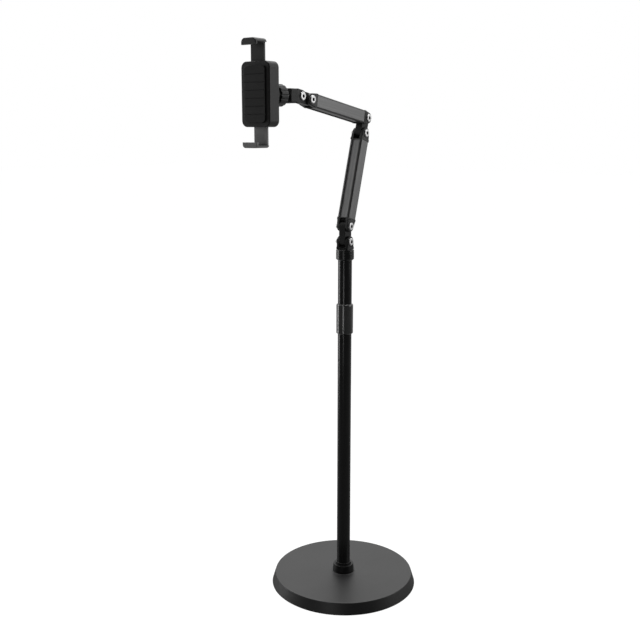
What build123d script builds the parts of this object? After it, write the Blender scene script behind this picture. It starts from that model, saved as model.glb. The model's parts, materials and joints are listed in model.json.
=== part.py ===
from build123d import *
from math import cos, pi, radians, sin
import os

os.makedirs("parts", exist_ok=True)

# Adjustable tablet floor stand, in millimetres, +Z up.
# The origin is the centre of the base's resting face. The holder faces -Y, the two arms
# fold in the YZ plane, and every arm pivot turns about X.

# Base
base_bottom_diameter = 250.0
base_wall_inset = 5.5
base_height = 20.0
base_rim_round = 0.9
pad_thickness = 1.5
pad_edge_inset = 1.5
cover_wall = 1.5
weight_side_gap = 1.0
weight_rim_width = 13.0
weight_recess_inner_radius = 42.0
weight_recess_depth = 6.0

# Bolt that holds the pole to the base
foot_bolt_diameter = 10.0
foot_bolt_hole_clearance = 0.3
foot_bolt_flats = 17.0
foot_bolt_head_height = 6.4
foot_bolt_grip = 14.0
foot_washer_diameter = 21.0
foot_washer_thickness = 2.0
foot_counterbore_margin = 2.0
foot_plug_length = 20.0

# Hub round the pole's foot
hub_bottom_wall = 6.9
hub_top_wall = 6.0
hub_height = 13.3
hub_lip_height = 2.0
hub_chamfer = 0.8
hub_neck_wall = 2.1
hub_neck_height = 3.8

# Pole
tube_diameter = 23.0
tube_wall = 1.5
upper_tube_length = 78.6
mast_side_gap = 1.5
mast_wall = 1.2
mast_foot_clearance = 53.1
mast_foot_cap = 2.0
slider_length = 30.0
sleeve_length = 28.0
sliding_fit = 0.1
running_fit = 0.05
open_gap = 0.3

# Twist lock in the middle of the pole
collar_bottom_height = 447.5
collar_length = 50.9
collar_wall = 2.5
collar_bottom_chamfer = 1.4
collar_top_round = 3.0
collar_top_wall = 4.0
collar_groove_height = 8.0
collar_groove_width = 0.9
collar_groove_depth = 0.35
collet_spigot_length = 26.0
collet_head_length = 20.0
collet_head_drop = 2.0
collet_taper = 0.75
collet_slit = 1.2
collet_slit_count = 4

# Swivel at the top of the pole
top_collar_skirt = 5.6
top_collar_height = 16.6
top_collar_wall = 3.25
top_collar_chamfer = 1.6
top_collar_round = 0.7
top_collar_groove_below_top = 2.6
top_collar_groove_width = 0.8
top_collar_groove_depth = 0.4
pan_bush_wall = 4.0
pan_bush_step = 1.3
pan_bush_length_below = 20.0
spindle_tail = 2.4
spindle_head_grip = 2.4
circlip_thickness = 1.0
circlip_groove_depth = 0.6
circlip_stand = 1.8
circlip_room = 0.9
circlip_cavity_height = 6.2
pan_washer_diameter = 25.0
pan_washer_thickness = 0.8

# Pivots shared by the head, the links, the arms and the holder mount
link_length = 25.0
link_radius = 9.0
link_side_clearance = 0.1
link_chamfer = 0.6
link_pocket_rim = 1.5
ear_radius = 9.0
ear_gap = 12.5
ear_thickness = 5.0
ear_edge_round = 1.6
head_floor_clearance = 0.6
head_floor_wall = 3.25
arm_floor_clearance = 2.5
arm_floor_wall = 1.5
screw_diameter = 6.0
screw_head_diameter = 12.4
screw_head_height = 2.75
screw_head_rim = 0.6
screw_head_flat_share = 0.45
screw_socket_flats = 4.4
screw_socket_depth = 1.7
screw_tail = 1.0
nut_flats = 10.0
nut_thickness = 5.0
nut_collar_share = 0.35
friction_washer_thickness = 0.8
friction_washer_stand = 0.05
friction_pocket_clearance = 0.1

# Arms
arm_length = 155.0
arm_height = 21.0
arm_corner_round = 2.4
arm_rail_height = 2.25
side_plate_thickness = 1.0
inlay_thickness = 0.8
inlay_recess = 2.0
panel_edge_gap = 0.1
beam_wall = 4.25
tenon_length = 14.0

# Angles from upright, in degrees about +X, as the arms stand
lower_arm_angle = -16.2
elbow_link_angle = -14.5
upper_arm_angle = 80.5
front_link_angle = 80.5
holder_angle = 90.0

# Holder mount, ball joint and swivel
knuckle_block_length = 14.0
stud_thread_diameter = 8.0
stud_thread_length = 12.0
stud_flange_flats = 14.0
stud_flange_thickness = 4.0
stud_neck_diameter = 8.0
ball_reach = 20.0
ball_diameter = 18.0
ball_fit = 0.1
lock_ring_front_from_centre = 9.0
lock_ring_length = 16.0
lock_ring_wall = 3.0
lock_ring_mouth_flare = 1.5
lock_ring_throat_inset = 1.1
lock_ring_throat_from_centre = 5.0
lock_ring_wall_from_centre = 2.0
lock_ring_round = 1.2
lock_ring_grip_count = 16
lock_ring_grip_diameter = 3.6
lock_ring_grip_depth = 0.9
cup_front_from_centre = 1.0
cup_back_from_centre = 21.0
cup_wall = 4.0
flange_diameter = 36.0
flange_thickness = 4.0
flange_round = 0.8
roll_washer_diameter = 32.0
roll_washer_thickness = 0.95
roll_screw_diameter = 5.0
roll_screw_grip = 11.0
roll_shoulder_diameter = 8.0
roll_screw_head_diameter = 13.0
roll_screw_head_height = 3.0

# Holder housing
rear_shell_depth = 12.0
front_shell_depth = 9.5
housing_width = 52.0
housing_height = 90.0
housing_corner = 9.0
housing_wall = 2.0
housing_back_wall = 2.4
housing_edge_round = 1.6
housing_boss_diameter = 6.0
housing_screw_inset_x = 5.6
housing_screw_inset_y = 9.0
shell_screw_diameter = 3.0
shell_screw_clearance = 0.1
shell_screw_head_diameter = 5.4
shell_screw_head_height = 1.8
shell_screw_slot_width = 0.8
shell_screw_slot_depth = 0.8
shell_screw_length = 16.0
front_pad_side_inset = 7.0
front_pad_end_inset = 6.0
front_pad_corner = 6.0
front_pad_thickness = 2.0
front_pad_groove_count = 6
front_pad_groove_width = 1.4
front_pad_groove_depth = 0.6
front_pad_groove_pitch = 11.0

# Clamp jaws, their slides and their springs
clamp_gap = 138.0
clamp_depth = 8.5
jaw_width = 27.0
jaw_depth = 24.0
jaw_lip_thickness = 3.4
jaw_lip_overlap = 3.0
upper_jaw_thickness = 6.5
lower_jaw_thickness = 5.0
upper_jaw_corner = 4.4
lower_jaw_corner = 2.6
jaw_edge_round = 0.8
jaw_pad_thickness = 1.5
jaw_pad_side_inset = 1.5
jaw_pad_rib_count = 3
jaw_pad_rib_width = 1.6
jaw_pad_rib_depth = 0.5
slide_side_inset = 1.5
slide_thickness = 3.0
slide_clearance = 0.2
slide_split_gap = 1.0
slide_tail = 17.0
slide_root = 1.5
jaw_travel_out = 38.0
rail_screw_gap = 1.5
rail_width = 3.0
lug_reach = 5.0
lug_height = 3.0
lug_end_clearance = 0.5
spring_diameter = 4.6
spring_wire = 0.7
spring_turn_count = 16
spring_side_gap = 0.3
spring_end_gap = 0.2
spring_post_diameter = 3.2
spring_post_inset = 5.0

# One overrun serves every cut
overrun = 2.0

# Sizes of the base and the pole that follow from the ones above
base_top_diameter = base_bottom_diameter - 2 * base_wall_inset
tube_radius = tube_diameter / 2
tube_bore = tube_radius - tube_wall
mast_radius = tube_bore - mast_side_gap
collar_radius = tube_radius + collar_wall
collar_top = collar_bottom_height + collar_length
lower_tube_top = collar_top - collar_top_wall - collet_head_drop - collet_head_length
mast_bottom = base_height + foot_plug_length + mast_foot_clearance
upper_tube_bottom = collar_top + open_gap
upper_tube_top = upper_tube_bottom + upper_tube_length
top_collar_radius = tube_radius + top_collar_wall
top_collar_bottom = upper_tube_top - top_collar_skirt
top_collar_top = top_collar_bottom + top_collar_height
pan_bush_bottom = upper_tube_top - pan_bush_length_below
pan_bush_radius = tube_bore - pan_bush_step
spindle_radius = tube_bore - pan_bush_wall

# Sizes of the pivots and the arms that follow from the ones above
link_thickness = ear_gap - 2 * link_side_clearance
head_gap_floor = link_radius + head_floor_clearance
head_base_below_pivot = head_gap_floor + head_floor_wall
head_pivot_above_collar = head_base_below_pivot + pan_washer_thickness + running_fit
arm_gap_floor = link_radius + arm_floor_clearance
arm_cap_reach = arm_gap_floor + arm_floor_wall
ear_width = ear_gap + 2 * ear_thickness
ear_face = ear_width / 2
screw_radius = screw_diameter / 2
friction_washer_radius = link_radius - link_pocket_rim
washer_seat = ear_gap / 2 - friction_washer_stand - friction_washer_thickness
side_plate_height = arm_height - 2 * arm_rail_height
beam_hollow_width = ear_width - 2 * beam_wall
beam_hollow_height = arm_height - 2 * beam_wall
inlay_width = beam_hollow_width

# Places in the holder, as distances ahead of its mount's pivot
knuckle_end = arm_cap_reach + knuckle_block_length
ball_centre = knuckle_end + ball_reach
ball_radius = ball_diameter / 2
socket_radius = ball_radius + ball_fit
cup_radius = ball_radius + cup_wall
cup_front = ball_centre - cup_front_from_centre
cup_back = ball_centre + cup_back_from_centre
lock_ring_radius = cup_radius + lock_ring_wall
lock_ring_front = ball_centre - lock_ring_front_from_centre
housing_back = cup_back + flange_thickness + roll_washer_thickness + running_fit
housing_split = housing_back + rear_shell_depth
housing_front = housing_split + front_shell_depth
glass_plane = housing_front + front_pad_thickness + clamp_depth
jaw_front = glass_plane + jaw_lip_thickness
jaw_back = jaw_front - jaw_depth

# Sizes of the jaws and slides that follow from the ones above
half_gap = clamp_gap / 2
slide_width = jaw_width - 2 * slide_side_inset
upper_slide_back = housing_split + slide_split_gap
lower_slide_back = housing_split - slide_split_gap - slide_thickness
lug_offset = housing_height / 2 - housing_wall - jaw_travel_out - lug_height / 2 - lug_end_clearance
rail_offset = (roll_screw_head_diameter + rail_width) / 2 + rail_screw_gap
spring_offset = slide_width / 2 + spring_side_gap + spring_diameter / 2


def direction(lean):
    """Unit step in the YZ plane for a piece that leans by so many degrees about +X."""
    return Vector(0, -sin(radians(lean)), cos(radians(lean)))


head_pivot = Vector(0, 0, top_collar_top + head_pivot_above_collar)
lower_arm_pivot = head_pivot + direction(0) * link_length
elbow_pivot = lower_arm_pivot + direction(lower_arm_angle) * arm_length
upper_arm_pivot = elbow_pivot + direction(elbow_link_angle) * link_length
front_pivot = upper_arm_pivot + direction(upper_arm_angle) * arm_length
mount_pivot = front_pivot + direction(front_link_angle) * link_length


# Helpers
def disc(radius, low, high):
    """Upright cylinder between two heights."""
    return Pos(0, 0, (low + high) / 2) * Cylinder(radius, high - low)


def ring(outer_radius, inner_radius, low, high):
    """Upright tube between two heights."""
    return disc(outer_radius, low, high) - disc(inner_radius, low - overrun, high + overrun)


def block(width, height, low, high):
    """Box centred on the Z axis between two heights."""
    return Pos(0, 0, (low + high) / 2) * Box(width, height, high - low)


def turned(outline, rounds=()):
    """Solid turned about +Z from (radius, height) corners; rounds are (corner, radius)."""
    face = make_face(Polyline(*outline, close=True))
    for corner, radius in rounds:
        spot = Vector(*outline[corner])
        vertex = min(face.vertices(), key=lambda v: (Vector(v.X, v.Y, v.Z) - spot).length)
        face = fillet(vertex, radius)
    return revolve(Plane.XZ * face, Axis.Z, 360)


def hexagon(flats, low, high):
    """Upright hexagonal prism of a width across flats."""
    corner_radius = flats / 2 / cos(pi / 6)
    face = Pos(0, 0, low) * RegularPolygon(corner_radius, 6)
    return extrude(face, amount=high - low)


def slab(width, height, corner, low, high):
    """Upright plate with rounded corners between two heights."""
    face = Pos(0, 0, low) * RectangleRounded(width, height, corner)
    return extrude(face, amount=high - low)


def along_x(shape):
    """Turns a piece that was made along +Z so that it lies along +X."""
    return Rot(0, 90, 0) * shape


def leaning(shape, pivot, lean):
    """Leans a piece that was made along +Z and sets its first pivot in place."""
    return Pos(pivot.X, pivot.Y, pivot.Z) * Rot(lean, 0, 0) * shape


def group(shapes):
    """One node from several separate solids."""
    return Compound([solid for shape in shapes for solid in shape.solids()])


# Base and foot
def base_pad():
    """Rubber sheet that the base rests on."""
    return disc(base_bottom_diameter / 2 - pad_edge_inset, 0, pad_thickness)


def base_weight():
    """Cast iron disc with a cored ring and a seat for the foot bolt beneath."""
    radius = base_top_diameter / 2 - cover_wall - weight_side_gap
    top = base_height - cover_wall
    weight = disc(radius, pad_thickness, top)
    recess_outer = radius - weight_rim_width
    recess_top = pad_thickness + weight_recess_depth
    weight -= ring(recess_outer, weight_recess_inner_radius, pad_thickness - overrun, recess_top)
    seat_radius = foot_washer_diameter / 2 + foot_counterbore_margin
    weight -= disc(seat_radius, pad_thickness - overrun, foot_seat_height())
    return weight - disc(foot_hole_radius(), pad_thickness, top + overrun)


def foot_seat_height():
    """Height of the seat under the weight that the foot washer bears on."""
    return pad_thickness + foot_counterbore_margin + foot_bolt_head_height + foot_washer_thickness


def foot_hole_radius():
    return foot_bolt_diameter / 2 + foot_bolt_hole_clearance


def base_cover():
    """Pressed steel cover with a sloping wall."""
    bottom = base_bottom_diameter / 2
    top = base_top_diameter / 2
    ceiling = base_height - cover_wall
    outline = [
        (foot_hole_radius(), base_height),
        (top, base_height),
        (bottom, pad_thickness),
        (bottom - cover_wall, pad_thickness),
        (top - cover_wall, ceiling),
        (foot_hole_radius(), ceiling),
    ]
    return turned(outline, [(1, base_rim_round)])


def foot_bolt():
    """Hexagon bolt that comes up through the base into the pole."""
    head_top = foot_seat_height() - foot_washer_thickness
    head = hexagon(foot_bolt_flats, head_top - foot_bolt_head_height, head_top)
    return head + disc(foot_bolt_diameter / 2, head_top, base_height + foot_bolt_grip)


def foot_washer():
    seat = foot_seat_height()
    return ring(foot_washer_diameter / 2, foot_hole_radius(), seat - foot_washer_thickness, seat)


def foot_plug():
    """Threaded plug pressed into the foot of the pole."""
    plug = disc(tube_bore, base_height, base_height + foot_plug_length)
    return plug - disc(foot_bolt_diameter / 2, base_height - overrun, base_height + foot_bolt_grip)


def pole_hub():
    """Trim ring with a raised neck round the foot of the pole."""
    bottom = tube_radius + hub_bottom_wall
    top = tube_radius + hub_top_wall
    neck = tube_radius + hub_neck_wall
    hub_top = base_height + hub_height
    neck_top = hub_top + hub_neck_height
    outline = [
        (tube_radius, base_height),
        (bottom, base_height),
        (bottom, base_height + hub_lip_height),
        (top, hub_top - hub_chamfer),
        (top - hub_chamfer, hub_top),
        (neck, hub_top),
        (neck, neck_top),
        (tube_radius, neck_top),
    ]
    return turned(outline)


# Pole
def lower_tube():
    return ring(tube_radius, tube_bore, base_height, lower_tube_top)


def collet():
    """Split nylon sleeve that the twist lock squeezes on the sliding mast."""
    bore = mast_radius + running_fit
    top = lower_tube_top + collet_head_length
    outline = [
        (bore, lower_tube_top - collet_spigot_length),
        (tube_bore, lower_tube_top - collet_spigot_length),
        (tube_bore, lower_tube_top),
        (tube_radius, lower_tube_top),
        (tube_radius - collet_taper, top),
        (bore, top),
    ]
    sleeve = turned(outline)
    slit = Pos(mast_radius / 2 + tube_radius / 2, 0, 0) * block(
        tube_radius, collet_slit, lower_tube_top + tube_wall, top + overrun
    )
    for number in range(collet_slit_count):
        sleeve -= Rot(0, 0, number * 360 / collet_slit_count) * slit
    return sleeve


def lock_collar():
    """Twist lock: its tapered bore closes the collet as it turns."""
    outer = collar_radius
    around_tube = tube_radius + sliding_fit
    ceiling = collar_top - collar_top_wall
    outline = [
        (around_tube, collar_bottom_height),
        (outer - collar_bottom_chamfer, collar_bottom_height),
        (outer, collar_bottom_height + collar_bottom_chamfer),
        (outer, collar_top),
        (mast_radius + open_gap, collar_top),
        (mast_radius + open_gap, ceiling),
        (around_tube - collet_taper, ceiling),
        (around_tube, lower_tube_top),
    ]
    groove_low = collar_bottom_height + collar_groove_height
    groove_high = groove_low + collar_groove_width
    groove = ring(outer + overrun, outer - collar_groove_depth, groove_low, groove_high)
    return turned(outline, [(3, collar_top_round)]) - groove


def inner_mast():
    return ring(mast_radius, mast_radius - mast_wall, mast_bottom, pan_bush_bottom)


def mast_slider():
    """Nylon foot that guides the mast inside the lower tube."""
    slider = disc(tube_bore - sliding_fit, mast_bottom - mast_foot_cap, mast_bottom + slider_length)
    return slider - disc(mast_radius, mast_bottom, mast_bottom + slider_length + overrun)


def mast_sleeves():
    """Two spacers between the mast and the upper tube."""
    upper_low = pan_bush_bottom - sleeve_length / 2
    lows = [(upper_tube_bottom, sleeve_length), (upper_low, sleeve_length / 2)]
    return group([ring(tube_bore, mast_radius, low, low + length) for low, length in lows])


def upper_tube():
    return ring(tube_radius, tube_bore, upper_tube_bottom, upper_tube_top)


def top_collar():
    """Collar bonded on the upper tube, which carries the swivel bush."""
    outer = top_collar_radius
    outline = [
        (tube_radius, top_collar_bottom),
        (outer - top_collar_chamfer, top_collar_bottom),
        (outer, top_collar_bottom + top_collar_chamfer),
        (outer, top_collar_top),
        (pan_bush_radius, top_collar_top),
        (pan_bush_radius, upper_tube_top),
        (tube_radius, upper_tube_top),
    ]
    groove_top = top_collar_top - top_collar_groove_below_top
    groove_floor = outer - top_collar_groove_depth
    groove = ring(outer + overrun, groove_floor, groove_top - top_collar_groove_width, groove_top)
    return turned(outline, [(3, top_collar_round)]) - groove


def pan_bush():
    """Nylon bush that the head's spindle turns in."""
    bush = disc(tube_bore, pan_bush_bottom, upper_tube_top)
    bush += disc(pan_bush_radius, upper_tube_top, top_collar_top)
    bush -= disc(spindle_radius + running_fit, pan_bush_bottom - overrun, top_collar_top + overrun)
    cavity_radius = spindle_radius + circlip_stand + circlip_room
    cavity_top = pan_bush_bottom + circlip_cavity_height
    return bush - disc(cavity_radius, pan_bush_bottom - overrun, cavity_top)


# Head
def circlip_top():
    return pan_bush_bottom + circlip_cavity_height - 2 * sliding_fit


def pan_spindle():
    """Steel pin pressed into the head, with a groove for its circlip."""
    radius = spindle_radius
    low = circlip_top() - circlip_thickness
    spindle = disc(radius, low - spindle_tail, head_block_bottom() + spindle_head_grip)
    return spindle - ring(radius + overrun, radius - circlip_groove_depth, low, circlip_top())


def pan_circlip():
    low = circlip_top() - circlip_thickness
    outer = spindle_radius + circlip_stand
    clip = ring(outer, spindle_radius - circlip_groove_depth, low, circlip_top())
    opening = Box(2 * outer, spindle_radius, circlip_thickness + overrun)
    return clip - Pos(outer, 0, low) * opening


def pan_washer():
    low = top_collar_top + running_fit
    return ring(pan_washer_diameter / 2, spindle_radius, low, low + pan_washer_thickness)


def head_block_bottom():
    return head_pivot.Z - head_base_below_pivot


def ear_block(reach, half_height, floor):
    """Fork with two rounded ears about a pivot at the origin, closed towards +Z."""
    far_edge = Pos(0, reach - ear_thickness / 2) * Rectangle(2 * half_height, ear_thickness)
    outline = make_hull(Circle(ear_radius).edges() + far_edge.edges())
    fork = extrude(Plane.YZ * outline, amount=ear_face, both=True)
    flanks = fork.faces().filter_by(Axis.X).edges()
    rims = [edge for edge in flanks if edge.center().Z < reach - ear_edge_round / 2]
    fork = fillet(rims, ear_edge_round)
    gap_height = floor + ear_radius + overrun
    gap = Pos(0, 0, floor - gap_height / 2) * Box(ear_gap, 2 * (half_height + overrun), gap_height)
    return fork - gap - along_x(disc(screw_radius, -ear_width, ear_width))


def head_clevis():
    """Fork on the swivel; its ears point up."""
    fork = Rot(180, 0, 0) * ear_block(head_base_below_pivot, ear_radius, head_gap_floor)
    fork = Pos(head_pivot.X, head_pivot.Y, head_pivot.Z) * fork
    low = head_block_bottom()
    return fork - disc(spindle_radius, low - overrun, low + spindle_head_grip)


# Pivot hardware, made about the X axis through the origin
def pivot_screw():
    """Button head screw with a hexagon socket."""
    head_radius = screw_head_diameter / 2
    outline = [
        (0, 0),
        (head_radius, 0),
        (head_radius, screw_head_rim),
        (head_radius * screw_head_flat_share, screw_head_height),
        (0, screw_head_height),
    ]
    head = turned(outline, [(3, screw_head_height)])
    head -= hexagon(screw_socket_flats, screw_head_height - screw_socket_depth, screw_head_height + overrun)
    shank = disc(screw_radius, -ear_width - nut_thickness - screw_tail, 0)
    return Pos(ear_face, 0, 0) * along_x(head + shank)


def pivot_nut():
    """Lock nut with a plain round collar at its outer end."""
    collar = nut_thickness * nut_collar_share
    body = hexagon(nut_flats, 0, nut_thickness - collar)
    body += disc(nut_flats / 2, nut_thickness - collar, nut_thickness)
    body -= disc(screw_radius, -overrun, nut_thickness + overrun)
    return Pos(-ear_face, 0, 0) * Rot(0, -90, 0) * body


def link():
    """Flat link with a pivot at the origin and one further along +Z."""
    half = link_thickness / 2
    outline = Pos(0, link_length / 2) * Rot(0, 0, 90) * SlotCenterToCenter(link_length, 2 * link_radius)
    plate = extrude(Plane.YZ * outline, amount=half, both=True)
    plate = chamfer(plate.faces().filter_by(Axis.X).edges(), link_chamfer)
    pocket_radius = friction_washer_radius + friction_pocket_clearance
    for height in (0, link_length):
        bore = disc(screw_radius + running_fit, -half - overrun, half + overrun)
        bore += disc(pocket_radius, washer_seat, half + overrun)
        bore += disc(pocket_radius, -half - overrun, -washer_seat)
        plate -= Pos(0, 0, height) * along_x(bore)
    return plate


def link_washers():
    """Four friction washers in the pockets of a link."""
    washers = []
    for height in (0, link_length):
        for side in (1, -1):
            near = side * washer_seat
            far = side * (washer_seat + friction_washer_thickness)
            low, high = sorted((near, far))
            washer = ring(friction_washer_radius, screw_radius + running_fit, low, high)
            washers.append(Pos(0, 0, height) * along_x(washer))
    return group(washers)


# Arms, made along +Z from their first pivot at the origin
beam_low = arm_cap_reach
beam_high = arm_length - arm_cap_reach


def arm_beam():
    """Hollow extrusion with a channel down each of its four faces."""
    beam = slab(ear_width, arm_height, arm_corner_round, beam_low, beam_high)
    beam -= block(beam_hollow_width, beam_hollow_height, beam_low - overrun, beam_high + overrun)
    for side in (1, -1):
        depth = 2 * side_plate_thickness
        channel = block(depth, side_plate_height, beam_low - overrun, beam_high + overrun)
        beam -= Pos(side * ear_face, 0, 0) * channel
        channel = block(inlay_width, 2 * inlay_recess, beam_low - overrun, beam_high + overrun)
        beam -= Pos(0, side * arm_height / 2, 0) * channel
    return beam


def side_plates():
    """Two bright cover strips, one on each side of an arm."""
    height = side_plate_height - 2 * panel_edge_gap
    plate = block(side_plate_thickness, height, beam_low, beam_high)
    offset = ear_face - side_plate_thickness / 2
    return group([Pos(side * offset, 0, 0) * plate for side in (1, -1)])


def arm_inlays():
    """Two bright strips sunk in an arm's front and back faces."""
    strip = block(inlay_width - 2 * panel_edge_gap, inlay_thickness, beam_low, beam_high)
    offset = arm_height / 2 - inlay_recess + inlay_thickness / 2
    return group([Pos(0, side * offset, 0) * strip for side in (1, -1)])


def arm_clevis():
    """End fork with a tenon that plugs into the beam."""
    fork = ear_block(arm_cap_reach, arm_height / 2, arm_gap_floor)
    tenon_end = arm_cap_reach + tenon_length
    return fork + block(beam_hollow_width, beam_hollow_height, arm_cap_reach, tenon_end)


def far_end(shape):
    """Turns an end piece round for the arm's second pivot."""
    return Pos(0, 0, arm_length) * Rot(180, 0, 0) * shape


def both_pivots(shape):
    """The same fastener at an arm's two pivots."""
    return group([shape, Pos(0, 0, arm_length) * shape])


def arm_nodes(prefix, near_name, far_name, pivot, lean):
    """All the pieces of one arm, in place."""
    pieces = {
        f"{prefix}_beam": arm_beam(),
        f"{prefix}_side_plates": side_plates(),
        f"{prefix}_inlays": arm_inlays(),
        f"{prefix}_{near_name}_clevis": arm_clevis(),
        f"{prefix}_{far_name}_clevis": far_end(arm_clevis()),
        f"{prefix}_screws": both_pivots(pivot_screw()),
        f"{prefix}_nuts": both_pivots(pivot_nut()),
    }
    return {name: leaning(shape, pivot, lean) for name, shape in pieces.items()}


def link_nodes(name, pivot, lean):
    return {name: leaning(link(), pivot, lean), f"{name}_washers": leaning(link_washers(), pivot, lean)}


# Holder mount and ball joint, made along +Z from the last pivot at the origin
def mount_knuckle():
    """Fork that carries the ball stud."""
    fork = ear_block(arm_cap_reach, arm_height / 2, arm_gap_floor)
    fork += slab(ear_width, arm_height, arm_corner_round, arm_cap_reach, knuckle_end)
    return fork - disc(stud_thread_diameter / 2, knuckle_end - stud_thread_length, knuckle_end + overrun)


def ball_stud():
    stud = disc(stud_thread_diameter / 2, knuckle_end - stud_thread_length, knuckle_end)
    stud += hexagon(stud_flange_flats, knuckle_end, knuckle_end + stud_flange_thickness)
    stud += disc(stud_neck_diameter / 2, knuckle_end + stud_flange_thickness, ball_centre)
    return stud + Pos(0, 0, ball_centre) * Sphere(ball_radius)


def lock_ring():
    """Knurled ring that squeezes the ball into its cup."""
    outer = lock_ring_radius
    back = lock_ring_front + lock_ring_length
    throat = ball_centre - lock_ring_throat_from_centre
    throat_radius = ball_radius - lock_ring_throat_inset
    wall_back = ball_centre - lock_ring_wall_from_centre
    thread = cup_radius + sliding_fit
    outline = [
        (ball_radius + lock_ring_mouth_flare, lock_ring_front),
        (outer, lock_ring_front),
        (outer, back),
        (thread, back),
        (thread, wall_back),
        (throat_radius, wall_back),
        (throat_radius, throat),
    ]
    collar = turned(outline, [(1, lock_ring_round), (2, lock_ring_round)])
    collar -= Pos(0, 0, ball_centre) * Sphere(socket_radius)
    grip_radius = lock_ring_grip_diameter / 2
    grip_circle = outer + grip_radius - lock_ring_grip_depth
    grip = Pos(grip_circle, 0, 0) * disc(grip_radius, lock_ring_front - overrun, back + overrun)
    for number in range(lock_ring_grip_count):
        collar -= Rot(0, 0, number * 360 / lock_ring_grip_count) * grip
    return collar


def socket_cup():
    """Cup that holds the ball and carries the holder's swivel."""
    outline = [
        (0, cup_front),
        (cup_radius, cup_front),
        (cup_radius, cup_back),
        (flange_diameter / 2, cup_back),
        (flange_diameter / 2, cup_back + flange_thickness),
        (0, cup_back + flange_thickness),
    ]
    cup = turned(outline, [(3, flange_round)])
    cup -= Pos(0, 0, ball_centre) * Sphere(socket_radius)
    face = cup_back + flange_thickness
    return cup - disc(roll_screw_diameter / 2, face - roll_screw_grip, face + overrun)


def roll_washer():
    face = cup_back + flange_thickness
    return ring(roll_washer_diameter / 2, roll_shoulder_diameter / 2, face, face + roll_washer_thickness)


def roll_screw():
    """Shoulder screw that the holder turns on."""
    face = cup_back + flange_thickness
    shoulder_end = housing_back + housing_back_wall + sliding_fit
    screw = disc(roll_screw_diameter / 2, face - roll_screw_grip, face)
    screw += disc(roll_shoulder_diameter / 2, face, shoulder_end)
    return screw + disc(roll_screw_head_diameter / 2, shoulder_end, shoulder_end + roll_screw_head_height)


# Holder housing: +Z is ahead and +Y is up
screw_x = housing_width / 2 - housing_screw_inset_x
screw_y = housing_height / 2 - housing_screw_inset_y
screw_spots = [(side * screw_x, end * screw_y) for side in (1, -1) for end in (1, -1)]
spring_post_height = housing_height / 2 - spring_post_inset


def shell(low, high, wall_low, wall_high):
    """Open tray of the housing, without its fittings."""
    inner_width = housing_width - 2 * housing_wall
    inner_height = housing_height - 2 * housing_wall
    tray = slab(housing_width, housing_height, housing_corner, low, high)
    outer_face = tray.faces().sort_by(Axis.Z)[0 if wall_low else -1]
    tray = fillet(outer_face.edges(), housing_edge_round)
    inner_low = low + wall_low if wall_low else low - overrun
    inner_high = high - wall_high if wall_high else high + overrun
    return tray - slab(inner_width, inner_height, housing_corner - housing_wall, inner_low, inner_high)


def slide_slot(back, end):
    """Cut for a slide through the top (1) or bottom (-1) wall of the housing."""
    width = slide_width + 2 * slide_clearance
    low = back - slide_clearance
    high = back + slide_thickness + slide_clearance
    slot = block(width, 4 * housing_wall, low, high)
    return Pos(0, end * housing_height / 2, 0) * slot


def rails(low, high):
    """Two ribs that a slide runs on."""
    length = housing_height - 3 * housing_wall
    rib = block(rail_width, length, low, high)
    return Pos(rail_offset, 0, 0) * rib + Pos(-rail_offset, 0, 0) * rib


def holder_rear_shell():
    floor = housing_back + housing_back_wall
    tray = shell(housing_back, housing_split, housing_back_wall, 0)
    tray += rails(floor, lower_slide_back - running_fit)
    head_seat = housing_back + shell_screw_head_height + shell_screw_clearance
    for x, y in screw_spots:
        tray += Pos(x, y, 0) * disc(housing_boss_diameter / 2, floor, housing_split)
    low = housing_back - overrun
    hole = disc(shell_screw_diameter / 2 + shell_screw_clearance, low, housing_split + overrun)
    hole += disc(shell_screw_head_diameter / 2 + shell_screw_clearance, low, head_seat)
    for x, y in screw_spots:
        tray -= Pos(x, y, 0) * hole
    post = disc(spring_post_diameter / 2, floor, lower_slide_back + slide_thickness)
    tray += Pos(-spring_offset, spring_post_height, 0) * post
    tray -= slide_slot(lower_slide_back, -1)
    return tray - disc(roll_shoulder_diameter / 2 + running_fit, low, floor + overrun)


def holder_front_shell():
    ceiling = housing_front - housing_wall
    tray = shell(housing_split, housing_front, 0, housing_wall)
    tray += rails(upper_slide_back + slide_thickness + running_fit, ceiling)
    head_seat = housing_back + shell_screw_head_height + shell_screw_clearance
    for x, y in screw_spots:
        tray += Pos(x, y, 0) * disc(housing_boss_diameter / 2, housing_split, ceiling)
    hole = disc(shell_screw_diameter / 2, housing_split - overrun, head_seat + shell_screw_length)
    for x, y in screw_spots:
        tray -= Pos(x, y, 0) * hole
    post = disc(spring_post_diameter / 2, upper_slide_back, ceiling)
    tray += Pos(spring_offset, -spring_post_height, 0) * post
    return tray - slide_slot(upper_slide_back, 1)


def shell_screws():
    """Four slotted screws that hold the two shells together."""
    seat = housing_back + shell_screw_head_height + shell_screw_clearance
    head_bottom = seat - shell_screw_head_height
    screw = disc(shell_screw_head_diameter / 2, head_bottom, seat)
    screw += disc(shell_screw_diameter / 2, seat, seat + shell_screw_length)
    slot_depth = shell_screw_slot_depth + overrun
    slot = Box(shell_screw_head_diameter + overrun, shell_screw_slot_width, slot_depth)
    screw -= Pos(0, 0, head_bottom + shell_screw_slot_depth - slot_depth / 2) * slot
    return group([Pos(x, y, 0) * screw for x, y in screw_spots])


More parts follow.
